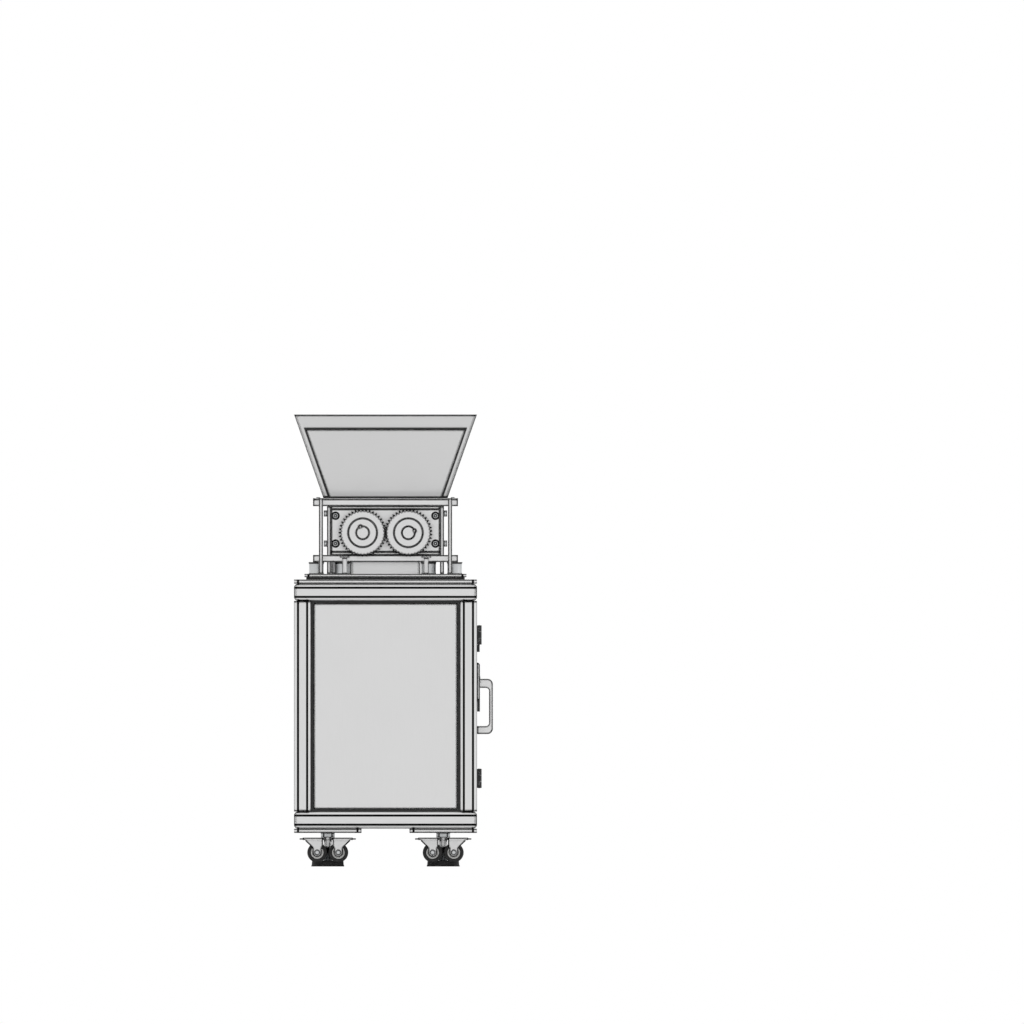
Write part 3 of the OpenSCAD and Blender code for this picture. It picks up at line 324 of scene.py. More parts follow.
def make_materials(colours, sizes):
    """Makes every finish once, named for the real material."""
    edge = tuple(colours.edge)
    line = sizes.edge_line

    def tone(name):
        return tuple(getattr(colours, name))

    def ground_plate(name, along="X", folds=()):
        """Mild steel plate, surface ground: finer and brighter than the sheet."""
        return brushed_metal(name, tone("plate"), edge, line, along, 0.7, 0.32, 0.05, folds=folds)

    def end_fold(node):
        """Lines where a plate's rounded corners begin, on its faces to the front and back."""
        return [(0, mid.x, corners_of(node)[1].x - mid.x - PLATE_CORNER * MM, 0)]

    def gear_steel(name, node):
        """Carbon steel gear blank faced on a lathe, so each face has rings."""
        centre = middle(node)
        root = corners_of(node)[1].x - centre.x - TOOTH_HEIGHT * MM
        return turned_metal(name, tone("gear"), edge, line * 0.8, centre, root)

    mid = middle("frame_rails")
    half, flat = TUBE * MM / 2, (TUBE / 2 - TUBE_CORNER) * MM
    posts, rails = corners_of("frame_posts")[1], corners_of("frame_rails")[1]
    post_folds = [(i, mid[i], posts[i] - mid[i] - half, flat) for i in (0, 1)]
    rail_folds = [(2, mid.z, rails.z - mid.z - half, flat)]
    caster_folds = [(0, mid.x, middle("caster_fork_2").x - mid.x, (CASTER_PLATE / 2 - PLATE_CORNER) * MM)]
    MATERIALS.update({
        # 304 stainless tube, belt ground along its length: long streaks, satin
        "upright_tube": brushed_metal(
            "ground_stainless_upright", tone("tube"), edge, line, "Z", folds=post_folds, rims=True),
        "long_tube": brushed_metal(
            "ground_stainless_rail", tone("tube"), edge, line, "Y", folds=rail_folds, rims=True),
        # 304 stainless sheet with a number 4 brushed finish
        "sheet_up": brushed_metal(
            "brushed_stainless_sheet", tone("sheet"), edge, line, "Z", 1.1, 0.36),
        # the hopper's darker tone is painted shade for its tilted walls; the brushed grain is real
        "hopper": brushed_metal(
            "brushed_stainless_hopper", tone("hopper"), edge, line, "X", 1.1, 0.36),
        "plate_x": ground_plate("ground_steel_plate"),
        "plate_z": ground_plate("ground_steel_bar", "Z"),
        "table": ground_plate("ground_table_plate", folds=end_fold("table_plate")),
        "base": ground_plate("ground_base_plate", folds=end_fold("base_plate")),
        "caster_plate": ground_plate("ground_caster_plate", folds=caster_folds),
        "drive_gear": gear_steel("turned_gear_steel_drive", "drive_gear"),
        "driven_gear": gear_steel("turned_gear_steel_driven", "driven_gear"),
        "shaft": brushed_metal(
            "ground_shaft_steel", tone("shaft"), edge, line * 0.7, "Y", 0.5, 0.24, 0.04),
        # hardened roller steel, grey from heat treatment
        "roller": brushed_metal(
            "hardened_roller_steel", tone("roller"), edge, 0, "Y", 0.8, 0.38, 0.1, 0.15),
        # bright zinc plate: fine speckle, slightly blue
        "bolt": speckled(
            "zinc_plated_steel", tone("bolt"), 0.32, 0.6, 0.08, 0.08, 1.0, 0.0, edge, line * 0.45),
        "fork": speckled(
            "zinc_plated_fork", tone("fork"), 0.34, 0.6, 0.06, 0.05, 1.0, 0.0, edge, line * 0.9),
        "casting": speckled("machined_cast_iron", tone("casting"), 0.5, 0.9, 0.35, 0.12, 0.9),
        "rubber": speckled("moulded_black_rubber", tone("rubber"), 0.72, 0.8, 0.2, 0.15),
        "nylon": speckled("glass_filled_nylon", tone("nylon"), 0.55, 0.5, 0.3, 0.12),
        "rim": speckled("moulded_pale_nylon", tone("rim"), 0.42, 0.8, 0.06, 0.03),
        # two-pack enamel over a casting: orange peel under a clear gloss
        "paint": speckled("grey_motor_enamel", tone("paint"), 0.4, 2.2, 0.12, 0.06, 0.0, 0.25),
    })


# Meshes ------------------------------------------------------------------


def finish_piece(name, bm, body, material, replaces=(), recalc=True, angle=35):
    """Turns a bmesh into a piece that rides on a body and takes a finish."""
    bmesh.ops.remove_doubles(bm, verts=bm.verts, dist=1e-6)
    if recalc:
        bmesh.ops.recalc_face_normals(bm, faces=bm.faces)
    mesh = bpy.data.meshes.new(name)
    bm.to_mesh(mesh)
    bm.free()
    mesh.materials.append(MATERIALS[material])
    mesh.shade_smooth()
    mesh.set_sharp_from_angle(angle=math.radians(angle))
    piece = bpy.data.objects.new(name, mesh)
    bpy.context.scene.collection.objects.link(piece)
    # normals follow the large faces, so that flat faces stay flat beside narrow bevels
    piece.modifiers.new("weighted_normals", "WEIGHTED_NORMAL").keep_sharp = True
    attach(piece, body)
    if replaces:
        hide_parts(*replaces)
    return piece


def soften(node, material, width, angle=30):
    """Replaces a CAD node by a copy of itself with broken edges."""
    bm = bmesh.new()
    bm.from_mesh(CAD_NODES[node].data)
    bmesh.ops.remove_doubles(bm, verts=bm.verts, dist=2e-6)
    bmesh.ops.dissolve_limit(bm, angle_limit=math.radians(1), verts=bm.verts, edges=bm.edges)
    sharp = [e for e in bm.edges if e.is_manifold and e.calc_face_angle(0) > math.radians(angle)]
    bmesh.ops.bevel(
        bm, geom=sharp, offset=width, offset_type="OFFSET", segments=2, profile=0.5,
        affect="EDGES", clamp_overlap=True, material=-1)
    return finish_piece(node + "_finished", bm, BODY_OF[node], material, [node], recalc=False)


def coat_node(node, material):
    """Gives a CAD node that keeps its shape its finish."""
    mesh = CAD_NODES[node].data
    mesh.materials.clear()
    mesh.materials.append(MATERIALS[material])


def lathe(bm, outline, centre, axis, steps=48, closed=True):
    """Spins an outline of (radius, place along the axis) round an axis through centre."""
    side = X if abs(axis.x) < 0.5 else Y
    verts = [bm.verts.new(centre + side * r * MM + axis * h * MM) for r, h in outline]
    pairs = list(zip(verts, verts[1:]))
    if closed:
        pairs.append((verts[-1], verts[0]))
    edges = [bm.edges.new(pair) for pair in pairs]
    bmesh.ops.spin(
        bm, geom=verts + edges, cent=centre, axis=axis, dvec=(0, 0, 0), angle=2 * math.pi,
        steps=steps, use_merge=True, use_duplicate=False)
    bmesh.ops.remove_doubles(bm, verts=bm.verts, dist=1e-6)
    bmesh.ops.dissolve_degenerate(bm, edges=bm.edges, dist=1e-7)


def drum(bm, centre, axis, radius_mm, long_mm, sides=32, chamfer_mm=0.4):
    """A chamfered round or many-sided bar with its middle at centre."""
    turn = axis.to_track_quat("Z", "Y").to_matrix().to_4x4()
    made = bmesh.ops.create_cone(
        bm, cap_ends=True, segments=sides, radius1=radius_mm * MM, radius2=radius_mm * MM,
        depth=long_mm * MM, matrix=Matrix.Translation(centre) @ turn)
    rims = [e for e in {e for v in made["verts"] for e in v.link_edges}
            if any(len(f.verts) == sides for f in e.link_faces) and sides != 4]
    bmesh.ops.bevel(
        bm, geom=rims, offset=chamfer_mm * MM, segments=1, profile=0.5, affect="EDGES", material=-1)


def slab(bm, low, high):
    """A box between two corners."""
    low, high = Vector(low), Vector(high)
    place = Matrix.Translation((low + high) / 2) @ Matrix.Diagonal((*(high - low), 1))
    return bmesh.ops.create_cube(bm, size=1, matrix=place)["verts"]


def raise_outline(bm, face, rise):
    """Extrudes a face along a vector and returns the far face."""
    made = bmesh.ops.extrude_face_region(bm, geom=[face])["geom"]
    moved = [g for g in made if isinstance(g, bmesh.types.BMVert)]
    bmesh.ops.translate(bm, verts=moved, vec=rise)
    return [g for g in made if isinstance(g, bmesh.types.BMFace)][0]


def disc(bm, centre, axis, radius_mm, sides):
    """A flat round face, and its rim's vertices in order."""
    turn = axis.to_track_quat("Z", "Y").to_matrix().to_4x4()
    made = bmesh.ops.create_circle(
        bm, cap_ends=True, segments=sides, radius=radius_mm * MM, matrix=Matrix.Translation(centre) @ turn)
    return made["verts"][0].link_faces[0], made["verts"]


def notch_rim(verts, centre, share, period=2):
    """Draws the second half of each period of a rim's vertices in towards its centre."""
    for i, vert in enumerate(verts):
        if i % period >= period / 2:
            vert.co = centre + (vert.co - centre) * share


def ring_spots(centre, radius_mm, count, first_deg):
    """Places evenly spaced on a circle round an axis along Y."""
    for i in range(count):
        turn = math.radians(first_deg + 360 * i / count)
        yield centre + Vector((math.cos(turn), 0, math.sin(turn))) * radius_mm * MM


class PieceOperator:
    """What the operators share"""
    bl_options = {"REGISTER"}

    def execute(self, context):
        self.build(context.scene.mill_sizes)
        return {"FINISHED"}


class MILL_OT_finishes(bpy.types.Operator):
    """Make every finish"""
    bl_idname = "mill.finishes"
    bl_label = "Finishes"

    def execute(self, context):
        make_materials(context.scene.mill_colours, context.scene.mill_sizes)
        return {"FINISHED"}


class MILL_OT_cabinet(PieceOperator, bpy.types.Operator):
    """Finish the tube frame, panels, plates and seals of the cabinet"""
    bl_idname = "mill.cabinet"
    bl_label = "Cabinet"

    def build(self, sizes):
        coat_node("frame_posts", "upright_tube")
        coat_node("frame_rails", "long_tube")
        coat_node("cabinet_floor", "sheet_up")
        coat_node("panel_gaskets", "rubber")
        coat_node("door_stop", "rubber")
        coat_node("door_magnet", "nylon")
        soften("side_panels", "sheet_up", sizes.softened)
        soften("table_plate", "table", sizes.softened)
        soften("base_plate", "base", sizes.softened)
        coat_node("base_sheet", "rubber")
        plates = soften("caster_plates", "caster_plate", sizes.softened)
        # the collars under the plates are zinc plated and carry thinner lines
        plates.data.materials.append(MATERIALS["bolt"])
        under = corners_of("caster_plates")[1].z - (CASTER_PLATE_T + 0.1) * MM
        for face in plates.data.polygons:
            face.material_index = int(face.center.z < under)


class MILL_OT_door(PieceOperator, bpy.types.Operator):
    """Finish the door with its handle, latch and hinges"""
    bl_idname = "mill.door"
    bl_label = "Door"

    def build(self, sizes):
        soften("door_panel", "sheet_up", sizes.softened)
        soften("door_handle", "plate_z", 1.2 * MM, 50)
        soften("latch_plate", "plate_z", 0.8 * MM)
        soften("latch_paddle", "nylon", 0.5 * MM)
        soften("hinge_frame_leaves", "nylon", 0.5 * MM)
        soften("hinge_door_leaves", "nylon", 0.5 * MM)
        coat_node("hinge_pins", "bolt")
        self.screws("hinge_frame_leaves", "door_hinge_frame_screws", "cabinet", 20.5)
        self.screws("hinge_door_leaves", "door_hinge_leaf_screws", "door", -20.5)
        self.latch_lock()

    def screws(self, node, name, body, beside_mm):
        """Two pan-head screws with a cross slot on each leaf, at one side of the pin."""
        face_x = corners_of(node)[0].x + 4 * MM
        screw_y = middle("hinge_pins").y + beside_mm * MM
        low, high = corners_of("hinge_door_leaves")
        bm = bmesh.new()
        for foot in (low.z, high.z - HINGE_LEAF_H * MM):
            for rise in (10.0, 32.5):
                spot = Vector((face_x, screw_y, foot + rise * MM))
                drum(bm, spot + X * 0.6 * MM, X, 3.6, 1.2, 20)
                for along, across in ((Y, Z), (Z, Y)):
                    reach = (along * 2.2 + X * 0.1 + across * 0.4) * MM
                    slab(bm, spot + X * 1.2 * MM - reach, spot + X * 1.2 * MM + reach)
        finish_piece(name, bm, body, "bolt")

    def latch_lock(self):
        """The round lock in the latch plate."""
        low, high = corners_of("latch_plate")
        spot = Vector((high.x, (low.y + high.y) / 2, low.z + LOCK_RISE * MM))
        lock, slot = bmesh.new(), bmesh.new()
        drum(lock, spot + X * 0.2 * MM, X, 7.5, 1.6, 32)
        slab(slot, spot + Vector((0.6, -0.6, -4)) * MM, spot + Vector((1.2, 0.6, 4)) * MM)
        finish_piece("latch_lock", lock, "door", "bolt")
        finish_piece("latch_lock_slot", slot, "door", "nylon")


class MILL_OT_casters(PieceOperator, bpy.types.Operator):
    """Build the forks, wheels and levelling feet"""
    bl_idname = "mill.casters"
    bl_label = "Casters"

    def build(self, sizes):
        for k in CORNERS:
            soften(f"caster_fork_{k}", "fork", 0.5 * MM)
            for side in SIDES:
                self.wheels(k, side, sizes)
            self.foot(k)

    def wheels(self, k, side, sizes):
        """Two wheels with pale centres on one axle with hex heads."""
        node, body = f"caster_wheels_{k}_{side}", f"wheels_{k}_{side}"
        low, high = corners_of(node)
        mid = middle(node)
        radius = (high.z - low.z) / 2 / MM
        inner = radius - sizes.tyre / MM
        half = WHEEL_W / 2
        tyre, rim, axle = bmesh.new(), bmesh.new(), bmesh.new()
        for way in (-1, 1):
            centre = mid + Y * way * WHEEL_Y * MM
            lathe(tyre, [
                (inner, -half + 0.8), (radius - 3, -half), (radius - 0.9, -half + 1.2), (radius, -half + 3.4),
                (radius, half - 3.4), (radius - 0.9, half - 1.2), (radius - 3, half), (inner, half - 0.8),
            ], centre, Y, 64)
            lathe(rim, [
                (4, -half), (6.6, -half), (7.2, -3), (inner - 2, -2.6), (inner - 1.4, -half + 0.6),
                (inner + 0.2, -half + 0.6), (inner + 0.2, half - 0.6), (inner - 1.4, half - 0.6),
                (inner - 2, 2.6), (7.2, 3), (6.6, half), (4, half),
            ], centre, Y, 48)
            washer, head = 0.6, 3.1
            drum(axle, mid + Y * way * (FORK_FACE + head / 2) * MM, Y, 6.4, head, 6, 0.5)
            drum(axle, mid + Y * way * (FORK_FACE + washer / 2) * MM, Y, 6.5, washer, 32, 0.1)
        drum(axle, mid, Y, AXLE_R, AXLE_L, 32, 0.3)
        finish_piece(f"tyres_{k}_{side}", tyre, body, "rubber", [node])
        finish_piece(f"wheel_centres_{k}_{side}", rim, body, "rim", [node])
        finish_piece(f"axle_{k}_{side}", axle, body, "bolt", [node])

    def foot(self, k):
        """An oblong rubber pad on a screw with a thumbwheel and a lock nut."""
        node, body = f"level_foot_{k}", f"foot_{k}"
        low, high = corners_of(node)
        base = Vector(((low.x + high.x) / 2, (low.y + high.y) / 2, low.z))
        self.pad(node, body, base, (high.x - low.x) / 2, (high.y - low.y) / 2)
        under = base + Z * THUMB_Z * MM
        wheel = bmesh.new()
        face, rim = disc(wheel, under, Z, THUMB_R, 56)
        notch_rim(rim, under, 0.93, 4)
        raise_outline(wheel, face, Z * THUMB_H * MM)
        lathe(wheel, [(6, -8.7), (9.4, -8.7), (9.4, -1), (7.5, 0), (6, 0)], under, Z, 40)
        drum(wheel, under + Z * (THUMB_H + 1.5) * MM, Z, 9.8, 3, 6, 0.6)
        finish_piece(f"thumbwheel_{k}", wheel, body, "casting", [node])
        screw = bmesh.new()
        start, core = 9.5, SCREW_R - 0.65
        thread = [(0, 8)]
        for i in range(THREAD_TURNS):
            thread += [
                (core, start + i * THREAD_PITCH), (SCREW_R, start + (i + 0.5) * THREAD_PITCH)]
        thread += [
            (core - 0.1, start + 0.3 + THREAD_TURNS * THREAD_PITCH), (4.6, SCREW_TOP), (0, SCREW_TOP)]
        lathe(screw, thread, under, Z, 32, closed=False)
        finish_piece(f"foot_screw_{k}", screw, body, "bolt", [node])

    def pad(self, node, body, base, half_x, half_y):
        """The pad: an oblong raised in steps, each drawn in a little."""
        bm = bmesh.new()
        face, rim = disc(bm, base, Z, half_y / MM, 48)
        reach = half_x - half_y
        for vert in rim:
            vert.co.x += math.copysign(reach, vert.co.x - base.x + 0.01 * MM)
        bottom = face
        for rise, draw in ((2.6, 0.0), (1.2, 0.9), (6.9, 0.5), (1.6, 0.3), (1.0, 1.1)):
            face = raise_outline(bm, face, Z * rise * MM)
            for vert in face.verts:
                away = Vector((vert.co.x - base.x, vert.co.y - base.y, 0))
                end = Vector((math.copysign(reach, away.x), 0, 0))
                vert.co -= (away - end).normalized() * draw * MM
        if not bottom.is_valid:
            raise RuntimeError("the pad lost its base")
        name = node.replace("level_foot", "foot_pad")
        finish_piece(name, bm, body, "rubber", [node], angle=50)


class MILL_OT_head(PieceOperator, bpy.types.Operator):
    """Finish the frames, plates, posts and fasteners of the mill head"""
    bl_idname = "mill.head"
    bl_label = "Mill head"

    def build(self, sizes):
        soften("head_frames", "plate_x", sizes.softened)
        soften("frame_strips", "plate_x", 0.4 * MM)
        soften("side_plates", "plate_z", sizes.softened)
        soften("end_plates", "plate_x", sizes.softened)
        soften("guard_posts", "plate_z", sizes.softened)
        soften("head_bolts", "bolt", 0.4 * MM, 50)
        coat_node("tie_rods", "shaft")
        coat_node("hold_down_studs", "fork")
        soften("roller_bearings", "casting", 0.8 * MM)
        coat_node("feed_guides", "sheet_up")
        coat_node("discharge_chute", "sheet_up")
        self.mounts()
        self.bearing_bolts()

    def mounts(self):
        """Vibration mounts: a steel can with a rubber face on top."""
        low, high = corners_of("vibration_mounts")
        radius, tall = MOUNT_R, (high.z - low.z) / MM
        lip, can = radius - 0.6, radius - 1.2
        can_top = tall - 2.2
        cans, pads = bmesh.new(), bmesh.new()
        mid_x = (low.x + high.x) / 2
        for x in (MOUNT_OUT, MOUNT_IN, -MOUNT_OUT, -MOUNT_IN):
            for y in (low.y + radius * MM, high.y - radius * MM):
                spot = Vector((mid_x + x * MM, y, low.z))
                lathe(cans, [
                    (0, 0), (lip, 0), (lip, 2), (can, 3), (can, tall - 5), (lip, tall - 4),
                    (lip, can_top), (0, can_top),
                ], spot, Z, 48, closed=False)
                lathe(pads, [
                    (0, can_top), (radius, can_top), (radius, tall - 0.4), (radius - 0.4, tall),
                    (0, tall),
                ], spot, Z, 48, closed=False)
        finish_piece("mount_cans", cans, "cabinet", "bolt", ["vibration_mounts"])
        finish_piece("mount_pads", pads, "cabinet", "rubber", ["vibration_mounts"])

    def bearing_bolts(self):
        """Four hex heads on each bearing flange."""
        low, high = corners_of("roller_bearings")
        bm = bmesh.new()
        head = 3.2
        for node in ("drive_roller", "driven_roller"):
            axis = middle(node)
            for y in (low.y - head / 2 * MM, high.y + head / 2 * MM):
                for spot in ring_spots(Vector((axis.x, y, axis.z)), FLANGE_BOLT_R, 4, 45):
                    drum(bm, spot, Y, 4.6, head, 6, 0.4)
        finish_piece("bearing_bolts", bm, "cabinet", "bolt")


class MILL_OT_rollers(PieceOperator, bpy.types.Operator):
    """Build the fluted rollers, and finish the shafts, gears and coupling"""
    bl_idname = "mill.rollers"
    bl_label = "Rollers and gears"

    def build(self, sizes):
        for name, hand in (("drive", 1), ("driven", -1)):
            soften(f"{name}_gear", f"{name}_gear", 0.35 * MM, 28)
            soften(f"{name}_shaft", "shaft", 0.4 * MM)
            self.roller(name, hand, sizes)
        self.coupling()

    def roller(self, name, hand, sizes):
        """A roller with slanting flutes: a toothed ring that turns a little along its length."""
        node = f"{name}_roller"
        low, high = corners_of(node)
        start = Vector(((low.x + high.x) / 2, low.y, (low.z + high.z) / 2))
        steps, flute_depth, radius = 24, 1.4, (high.x - low.x) / 2 / MM
        bm = bmesh.new()
        rim = bmesh.ops.create_circle(
            bm, cap_ends=False, segments=sizes.flutes * 2, radius=radius * MM,
            matrix=Matrix.Translation(start) @ Matrix.Rotation(math.radians(-90), 4, "X"))["verts"]
        notch_rim(rim, start, 1 - flute_depth / radius)
        edges = list({e for v in rim for e in v.link_edges})
        bmesh.ops.spin(
            bm, geom=rim + edges, cent=start, axis=Y, dvec=Y * (high.y - low.y) / steps,
            angle=hand * sizes.twist, steps=steps, use_merge=False, use_duplicate=False)
        ends = [e for e in bm.edges if e.is_boundary]
        bmesh.ops.holes_fill(bm, edges=ends, sides=0)
        finish_piece(
            f"{name}_roller_fluted", bm, BODY_OF[node], "roller", [node], angle=28)

    def coupling(self):
        """Jaw coupling: two hubs with three jaws each, on either side of a rubber spider."""
        node = "shaft_coupling"
        low, high = corners_of(node)
        axis = middle("drive_roller")
        start = Vector((axis.x, low.y, axis.z))
        hubs, spider, motor_shaft = bmesh.new(), bmesh.new(), bmesh.new()
        radius, bore = HUB_R, SHAFT_BORE_R
        for foot, way in ((0, 1), (COUPLING_L, -1)):
            base = start + Y * foot * MM
            lathe(hubs, [
                (bore, 0), (radius - 1, 0), (radius, 1), (radius, HUB_L - 1), (radius - 1, HUB_L),
                (bore, HUB_L),
            ], base, Y * way, 64)
            for i in range(3):
                turn = Matrix.Rotation(math.radians(120 * i + (0 if way > 0 else 60)), 4, "Y")
                jaw = slab(hubs, Vector((14.5, 14.5, -6.5)) * MM, Vector((26.2, 22.5, 6.5)) * MM)
                flip = Matrix.Scale(way, 4, Y)
                bmesh.ops.transform(hubs, matrix=Matrix.Translation(base) @ turn @ flip, verts=jaw)
            drum(hubs, base + Y * way * HUB_L / 2 * MM + Z * (radius + 0.1) * MM, Z, 3.2, 1.0, 6, 0.2)
        spider_foot = start + Y * (HUB_L + 0.3) * MM
        face, rim = disc(spider, spider_foot, Y, 25.0, 72)
        for i, vert in enumerate(rim):
            if i % 12 in (0, 1, 11):
                vert.co = spider_foot + (vert.co - spider_foot) * 0.9
        raise_outline(spider, face, Y * 7.4 * MM)
        shaft_start = COUPLING_L - 1
        shaft_mid = (start.y + shaft_start * MM + high.y) / 2
        long = (high.y - start.y) / MM - shaft_start
        drum(motor_shaft, Vector((axis.x, shaft_mid, axis.z)), Y, bore - 0.15, long, 48, 0.3)
        finish_piece("coupling_hubs", hubs, "drive_roller", "casting", [node])
        finish_piece("coupling_spider", spider, "drive_roller", "rubber", [node])
        finish_piece("gearmotor_shaft", motor_shaft, "drive_roller", "shaft", [node])


class MILL_OT_hopper(PieceOperator, bpy.types.Operator):
    """Finish the hopper and put a seal round its front panel"""
    bl_idname = "mill.hopper"
    bl_label = "Hopper"

    def build(self, sizes):
        soften("hopper", "hopper", 0.5 * MM)
        soften("hopper_panel", "hopper", 0.3 * MM)
        self.seal(sizes.seal)
        self.flange_screws()

    def seal(self, width):
        """A rubber strip round the panel, standing 0.9 mm prouder than it."""
        points = [v.co for v in CAD_NODES["hopper_panel"].data.vertices]
        low, high = corners_of("hopper_panel")
        mid_x = (low.x + high.x) / 2
        tops = [p for p in points if p.z > high.z - 0.1 * MM]
        feet = [p for p in points if p.z < low.z + 0.1 * MM]
        top, foot = (min(row, key=lambda p: p.y) for row in (tops, feet))
        half_top, half_foot = (max(p.x for p in row) - mid_x for row in (tops, feet))
        up = Vector((0, top.y - foot.y, top.z - foot.z)).normalized()
        out = X.cross(up)
        out = out if out.y < 0 else -out
        grow = width / 2
        corners = [
            Vector((mid_x - half_foot - grow, foot.y, foot.z)),
            Vector((mid_x + half_foot + grow, foot.y, foot.z)),
            Vector((mid_x + half_top + grow, top.y, top.z)) + up * grow,
            Vector((mid_x - half_top - grow, top.y, top.z)) + up * grow,
        ]
        bm = bmesh.new()
        face = bm.faces.new([bm.verts.new(c - out * 1.2 * MM) for c in corners])
        face.normal_update()
        inner = bmesh.ops.inset_region(bm, faces=[face], thickness=width, use_boundary=True)["faces"]
        bmesh.ops.delete(bm, geom=[face], context="FACES_ONLY")
        made = bmesh.ops.extrude_face_region(bm, geom=inner)["geom"]
        raised = [g for g in made if isinstance(g, bmesh.types.BMVert)]
        bmesh.ops.translate(bm, verts=raised, vec=out * 2.1 * MM)
        finish_piece("hopper_panel_seal", bm, "cabinet", "rubber")

    def flange_screws(self):
        """Low button heads along the hopper's flange on the sides and at the back."""
        low, high = corners_of("head_frames")
        inset, from_end, flange, head = 11.5 * MM, 40 * MM, 2.0, 2.2
        bm = bmesh.new()
        z = high.z + (flange + head / 2) * MM
        for i in range(4):
            y = low.y + from_end + i * (high.y - low.y - 2 * from_end) / 3
            for x in (low.x + inset, high.x - inset):
                drum(bm, Vector((x, y, z)), Z, 4.5, head, 24, 0.9)
        finish_piece("hopper_flange_screws", bm, "cabinet", "bolt")


class MILL_OT_drive(PieceOperator, bpy.types.Operator):
    """Build the finned gearmotor with its bracket, terminal box and gland"""
    bl_idname = "mill.drive"
    bl_label = "Drive"

    def build(self, sizes):
        soften("motor_bracket", "plate_x", sizes.softened)
        coat_node("cable_gland", "nylon")
        self.motor(sizes)
        self.box()
        self.bracket_bolts()

    def motor(self, sizes):
        """Gear case with a bolted flange, and a motor body with a finned middle."""
        node = "gearmotor"
        low, high = corners_of(node)
        start = Vector(((low.x + high.x) / 2, low.y, (low.z + high.z) / 2))
        radius, long = (high.x - low.x) / 2 / MM, (high.y - low.y) / MM
        root = radius - sizes.fin / MM
        case, body, fins = bmesh.new(), bmesh.new(), bmesh.new()
        lathe(case, [
            (SHAFT_BORE_R, 0), (CASE_R - 0.5, 0), (CASE_R, 0.6), (CASE_R, 9), (CASE_R - 1, 10),
            (56, 11), (54.5, 14), (54.5, 48), (57, 52), (CASE_R, 53.5), (CASE_R, CASE_L),
            (SHAFT_BORE_R, CASE_L),
        ], start, Y, 96)
        for spot in ring_spots(start + Y * 11.6 * MM, CASE_BOLTS_AT, 8, 22.5):
            drum(case, spot, Y, 3.6, 3.4, 6, 0.4)
        lathe(body, [
            (0, 62), (radius - 1, 62), (radius, 63), (radius, 73), (radius - 1, 74), (root, 75),
            (root, long - 24), (radius - 1, long - 23), (radius, long - 22), (radius, long - 12),
            (radius - 1.2, long - 8), (radius - 6, long - 3.5), (radius - 16, long - 1),
            (radius - 30, long), (14, long), (12, long - 1.5), (0, long - 1.5),
        ], start, Y, 96, closed=False)
        blade_low = Vector((root - 1, 74.5, -0.9)) * MM
        blade_high = Vector((radius - 1.5, long - 23.5, 0.9)) * MM
        for i in range(sizes.fins):
            turn = Matrix.Rotation(2 * math.pi * i / sizes.fins, 4, "Y")
            blade = slab(fins, blade_low, blade_high)
            bmesh.ops.transform(fins, matrix=Matrix.Translation(start) @ turn, verts=blade)
        finish_piece("gear_case", case, "cabinet", "paint", [node])
        finish_piece("motor_body", body, "cabinet", "paint", [node])
        finish_piece("motor_fins", fins, "cabinet", "paint", [node])

    def box(self):
        """Terminal box with a separate lid and four screws."""
        node = "junction_box"
        low, high = corners_of(node)
        shell, lid, screws = bmesh.new(), bmesh.new(), bmesh.new()
        inset = Vector((0, 1.2, 1.2)) * MM
        slab(shell, low + inset, Vector((high.x - 9 * MM, high.y, high.z)) - inset)
        slab(lid, (high.x - 8.2 * MM, low.y, low.z), high)
        for bm in (shell, lid):
            bmesh.ops.bevel(
                bm, geom=list(bm.edges), offset=1.6 * MM, segments=3, profile=0.5, affect="EDGES",
                material=-1)
        # a step between shell and lid
        step = Vector((0, 3, 3)) * MM
        slab(
            shell, Vector((high.x - 9.2 * MM, low.y, low.z)) + step,
            Vector((high.x - 8 * MM, high.y, high.z)) - step)
        corner = 7 * MM
        for y in (low.y + corner, high.y - corner):
            for z in (low.z + corner, high.z - corner):
                drum(screws, Vector((high.x - 0.3 * MM, y, z)), X, 3.0, 1.4, 20, 0.3)
        finish_piece("terminal_box", shell, "cabinet", "paint", [node])
        finish_piece("terminal_box_lid", lid, "cabinet", "paint", [node])
        finish_piece("terminal_box_screws", screws, "cabinet", "bolt")

    def bracket_bolts(self):
        """Hex bolts through the bracket's foot, and through its plate into the gear case."""
        low, high = corners_of("motor_bracket")
        axis = middle("drive_roller")
        from_end, from_face, foot, washer, head = 22 * MM, 23.5 * MM, 8.0, 1.4, 6.0
        bm = bmesh.new()
        for x in (low.x + from_end, axis.x, high.x - from_end):
            spot = Vector((x, low.y + from_face, low.z + foot * MM))
            drum(bm, spot + Z * washer / 2 * MM, Z, 8.5, washer, 32, 0.2)
            drum(bm, spot + Z * (washer + head / 2) * MM, Z, 6.8, head, 6, 0.6)
        cap = 5.0
        face = Vector((axis.x, low.y - cap / 2 * MM, axis.z))
        for spot in ring_spots(face, CASE_BOLT_R, 4, 45):
            drum(bm, spot, Y, 5.6, cap, 6, 0.5)
        finish_piece("bracket_bolts", bm, "cabinet", "bolt")


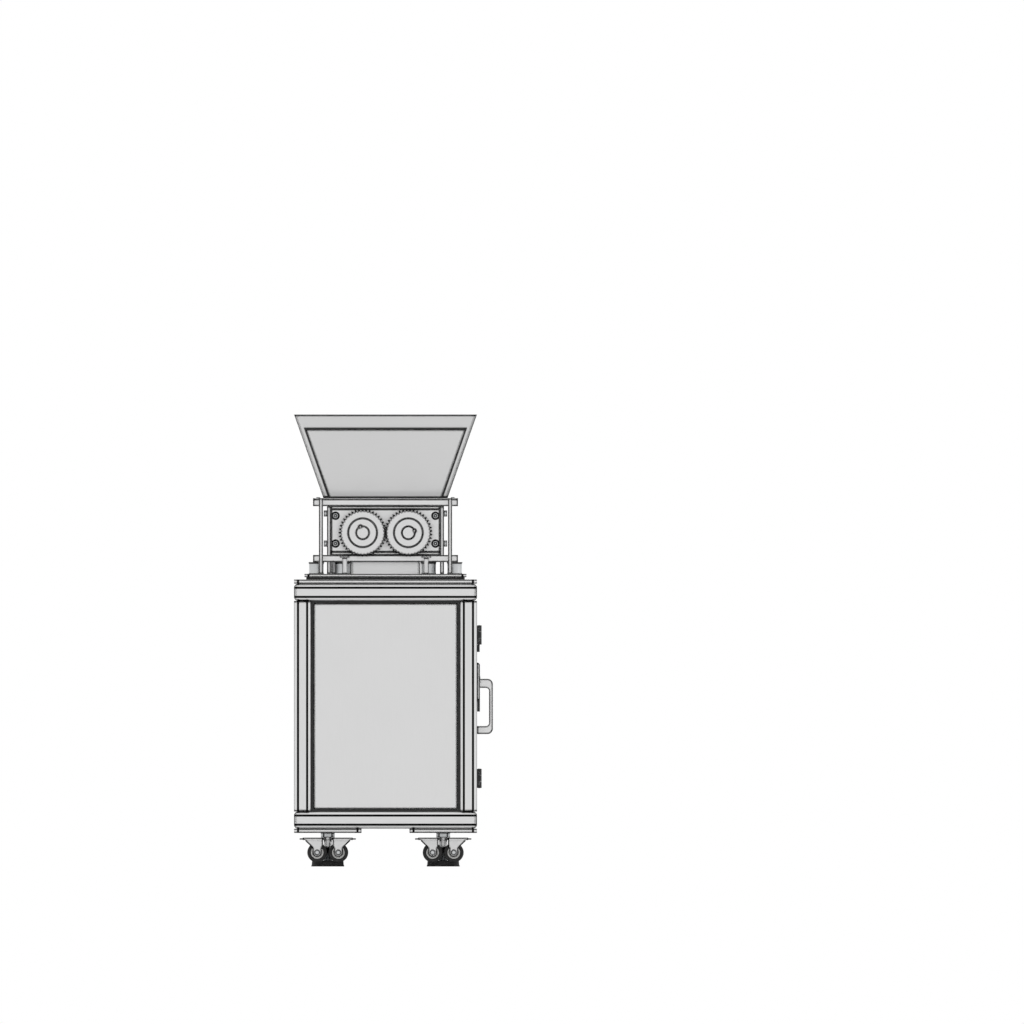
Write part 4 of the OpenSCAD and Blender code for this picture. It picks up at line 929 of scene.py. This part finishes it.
class MILL_OT_stage(bpy.types.Operator):
    """Set the camera, floor, lamps and background"""
    bl_idname = "mill.stage"
    bl_label = "Stage"

    def execute(self, context):
        stage = context.scene.mill_stage
        self.camera(context.scene, stage)
        self.floor(stage)
        self.lamps(stage)
        self.world(context.scene, stage)
        context.scene.view_settings.view_transform = "Standard"
        return {"FINISHED"}

    def camera(self, scene, stage):
        data = bpy.data.cameras.new("camera")
        data.type = "ORTHO"
        data.ortho_scale = stage.view_width
        data.clip_end = 40
        camera = bpy.data.objects.new("camera", data)
        camera.location = (stage.view_x, -6, stage.view_z)
        camera.rotation_euler = (math.pi / 2, 0, 0)
        scene.collection.objects.link(camera)
        scene.camera = camera

    def floor(self, stage):
        made, _, shader, _ = start_material("pale_floor")
        shader.inputs["Base Color"].default_value = tuple(stage.floor)
        shader.inputs["Roughness"].default_value = 0.85
        bm = bmesh.new()
        bmesh.ops.create_grid(bm, x_segments=1, y_segments=1, size=30)
        mesh = bpy.data.meshes.new("floor")
        bm.to_mesh(mesh)
        bm.free()
        mesh.materials.append(made)
        floor = bpy.data.objects.new("floor", mesh)
        bpy.context.scene.collection.objects.link(floor)

    def lamps(self, stage):
        for name, spot, power, size in (
            ("key_lamp", (-3.0, -1.6, 3.2), stage.key, 2.4),
            ("fill_lamp", (3.2, -1.4, 1.8), stage.key * 0.5, 2.0),
            ("back_lamp", (0.6, 3.2, 2.8), stage.key * 0.7, 2.4),
        ):
            data = bpy.data.lights.new(name, "AREA")
            data.energy = power
            data.size = size
            lamp = bpy.data.objects.new(name, data)
            lamp.location = spot
            aim = Vector((0, 0, 0.55)) - Vector(spot)
            lamp.rotation_euler = aim.to_track_quat("-Z", "Y").to_euler()
            bpy.context.scene.collection.objects.link(lamp)

    def world(self, scene, stage):
        """White to the eye and in reflections, softer as a light."""
        world = bpy.data.worlds.new("studio")
        world.use_nodes = True
        tree = world.node_tree
        tree.nodes.clear()
        path = add_node(tree, "ShaderNodeLightPath").outputs
        seen = path["Is Camera Ray"]
        for ray in ("Is Glossy Ray", "Is Transmission Ray"):
            rays = {0: seen, 1: path[ray]}
            seen = add_node(tree, "ShaderNodeMath", rays, operation="MAXIMUM").outputs[0]
        levels = {"Value": seen, 3: stage.ambient, 4: 1.0}
        strength = add_node(tree, "ShaderNodeMapRange", levels).outputs["Result"]
        light = add_node(tree, "ShaderNodeBackground", {"Color": (1, 1, 1, 1), "Strength": strength})
        output = add_node(tree, "ShaderNodeOutputWorld")
        tree.links.new(light.outputs["Background"], output.inputs["Surface"])
        scene.world = world


class MILL_PT_panel(bpy.types.Panel):
    """Lists the operators in the sidebar"""
    bl_idname = "MILL_PT_panel"
    bl_label = "Grain Mill"
    bl_space_type = "VIEW_3D"
    bl_region_type = "UI"
    bl_category = "Grain Mill"

    def draw(self, context):
        for step in STEPS:
            self.layout.operator(step.bl_idname)


STEPS = (
    MILL_OT_stage, MILL_OT_finishes, MILL_OT_cabinet, MILL_OT_door, MILL_OT_casters, MILL_OT_head,
    MILL_OT_rollers, MILL_OT_hopper, MILL_OT_drive)
GROUPS = {"mill_colours": MillColours, "mill_sizes": MillSizes, "mill_stage": StageSettings}


def register():
    for kind in (*GROUPS.values(), *STEPS, MILL_PT_panel):
        bpy.utils.register_class(kind)
    for name, kind in GROUPS.items():
        setattr(bpy.types.Scene, name, bpy.props.PointerProperty(type=kind))


def unregister():
    for name in GROUPS:
        delattr(bpy.types.Scene, name)
    for kind in (MILL_PT_panel, *reversed(STEPS), *GROUPS.values()):
        bpy.utils.unregister_class(kind)


def main():
    register()
    for step in STEPS:
        group, name = step.bl_idname.split(".")
        getattr(getattr(bpy.ops, group), name)()


if __name__ == "__main__":
    main()
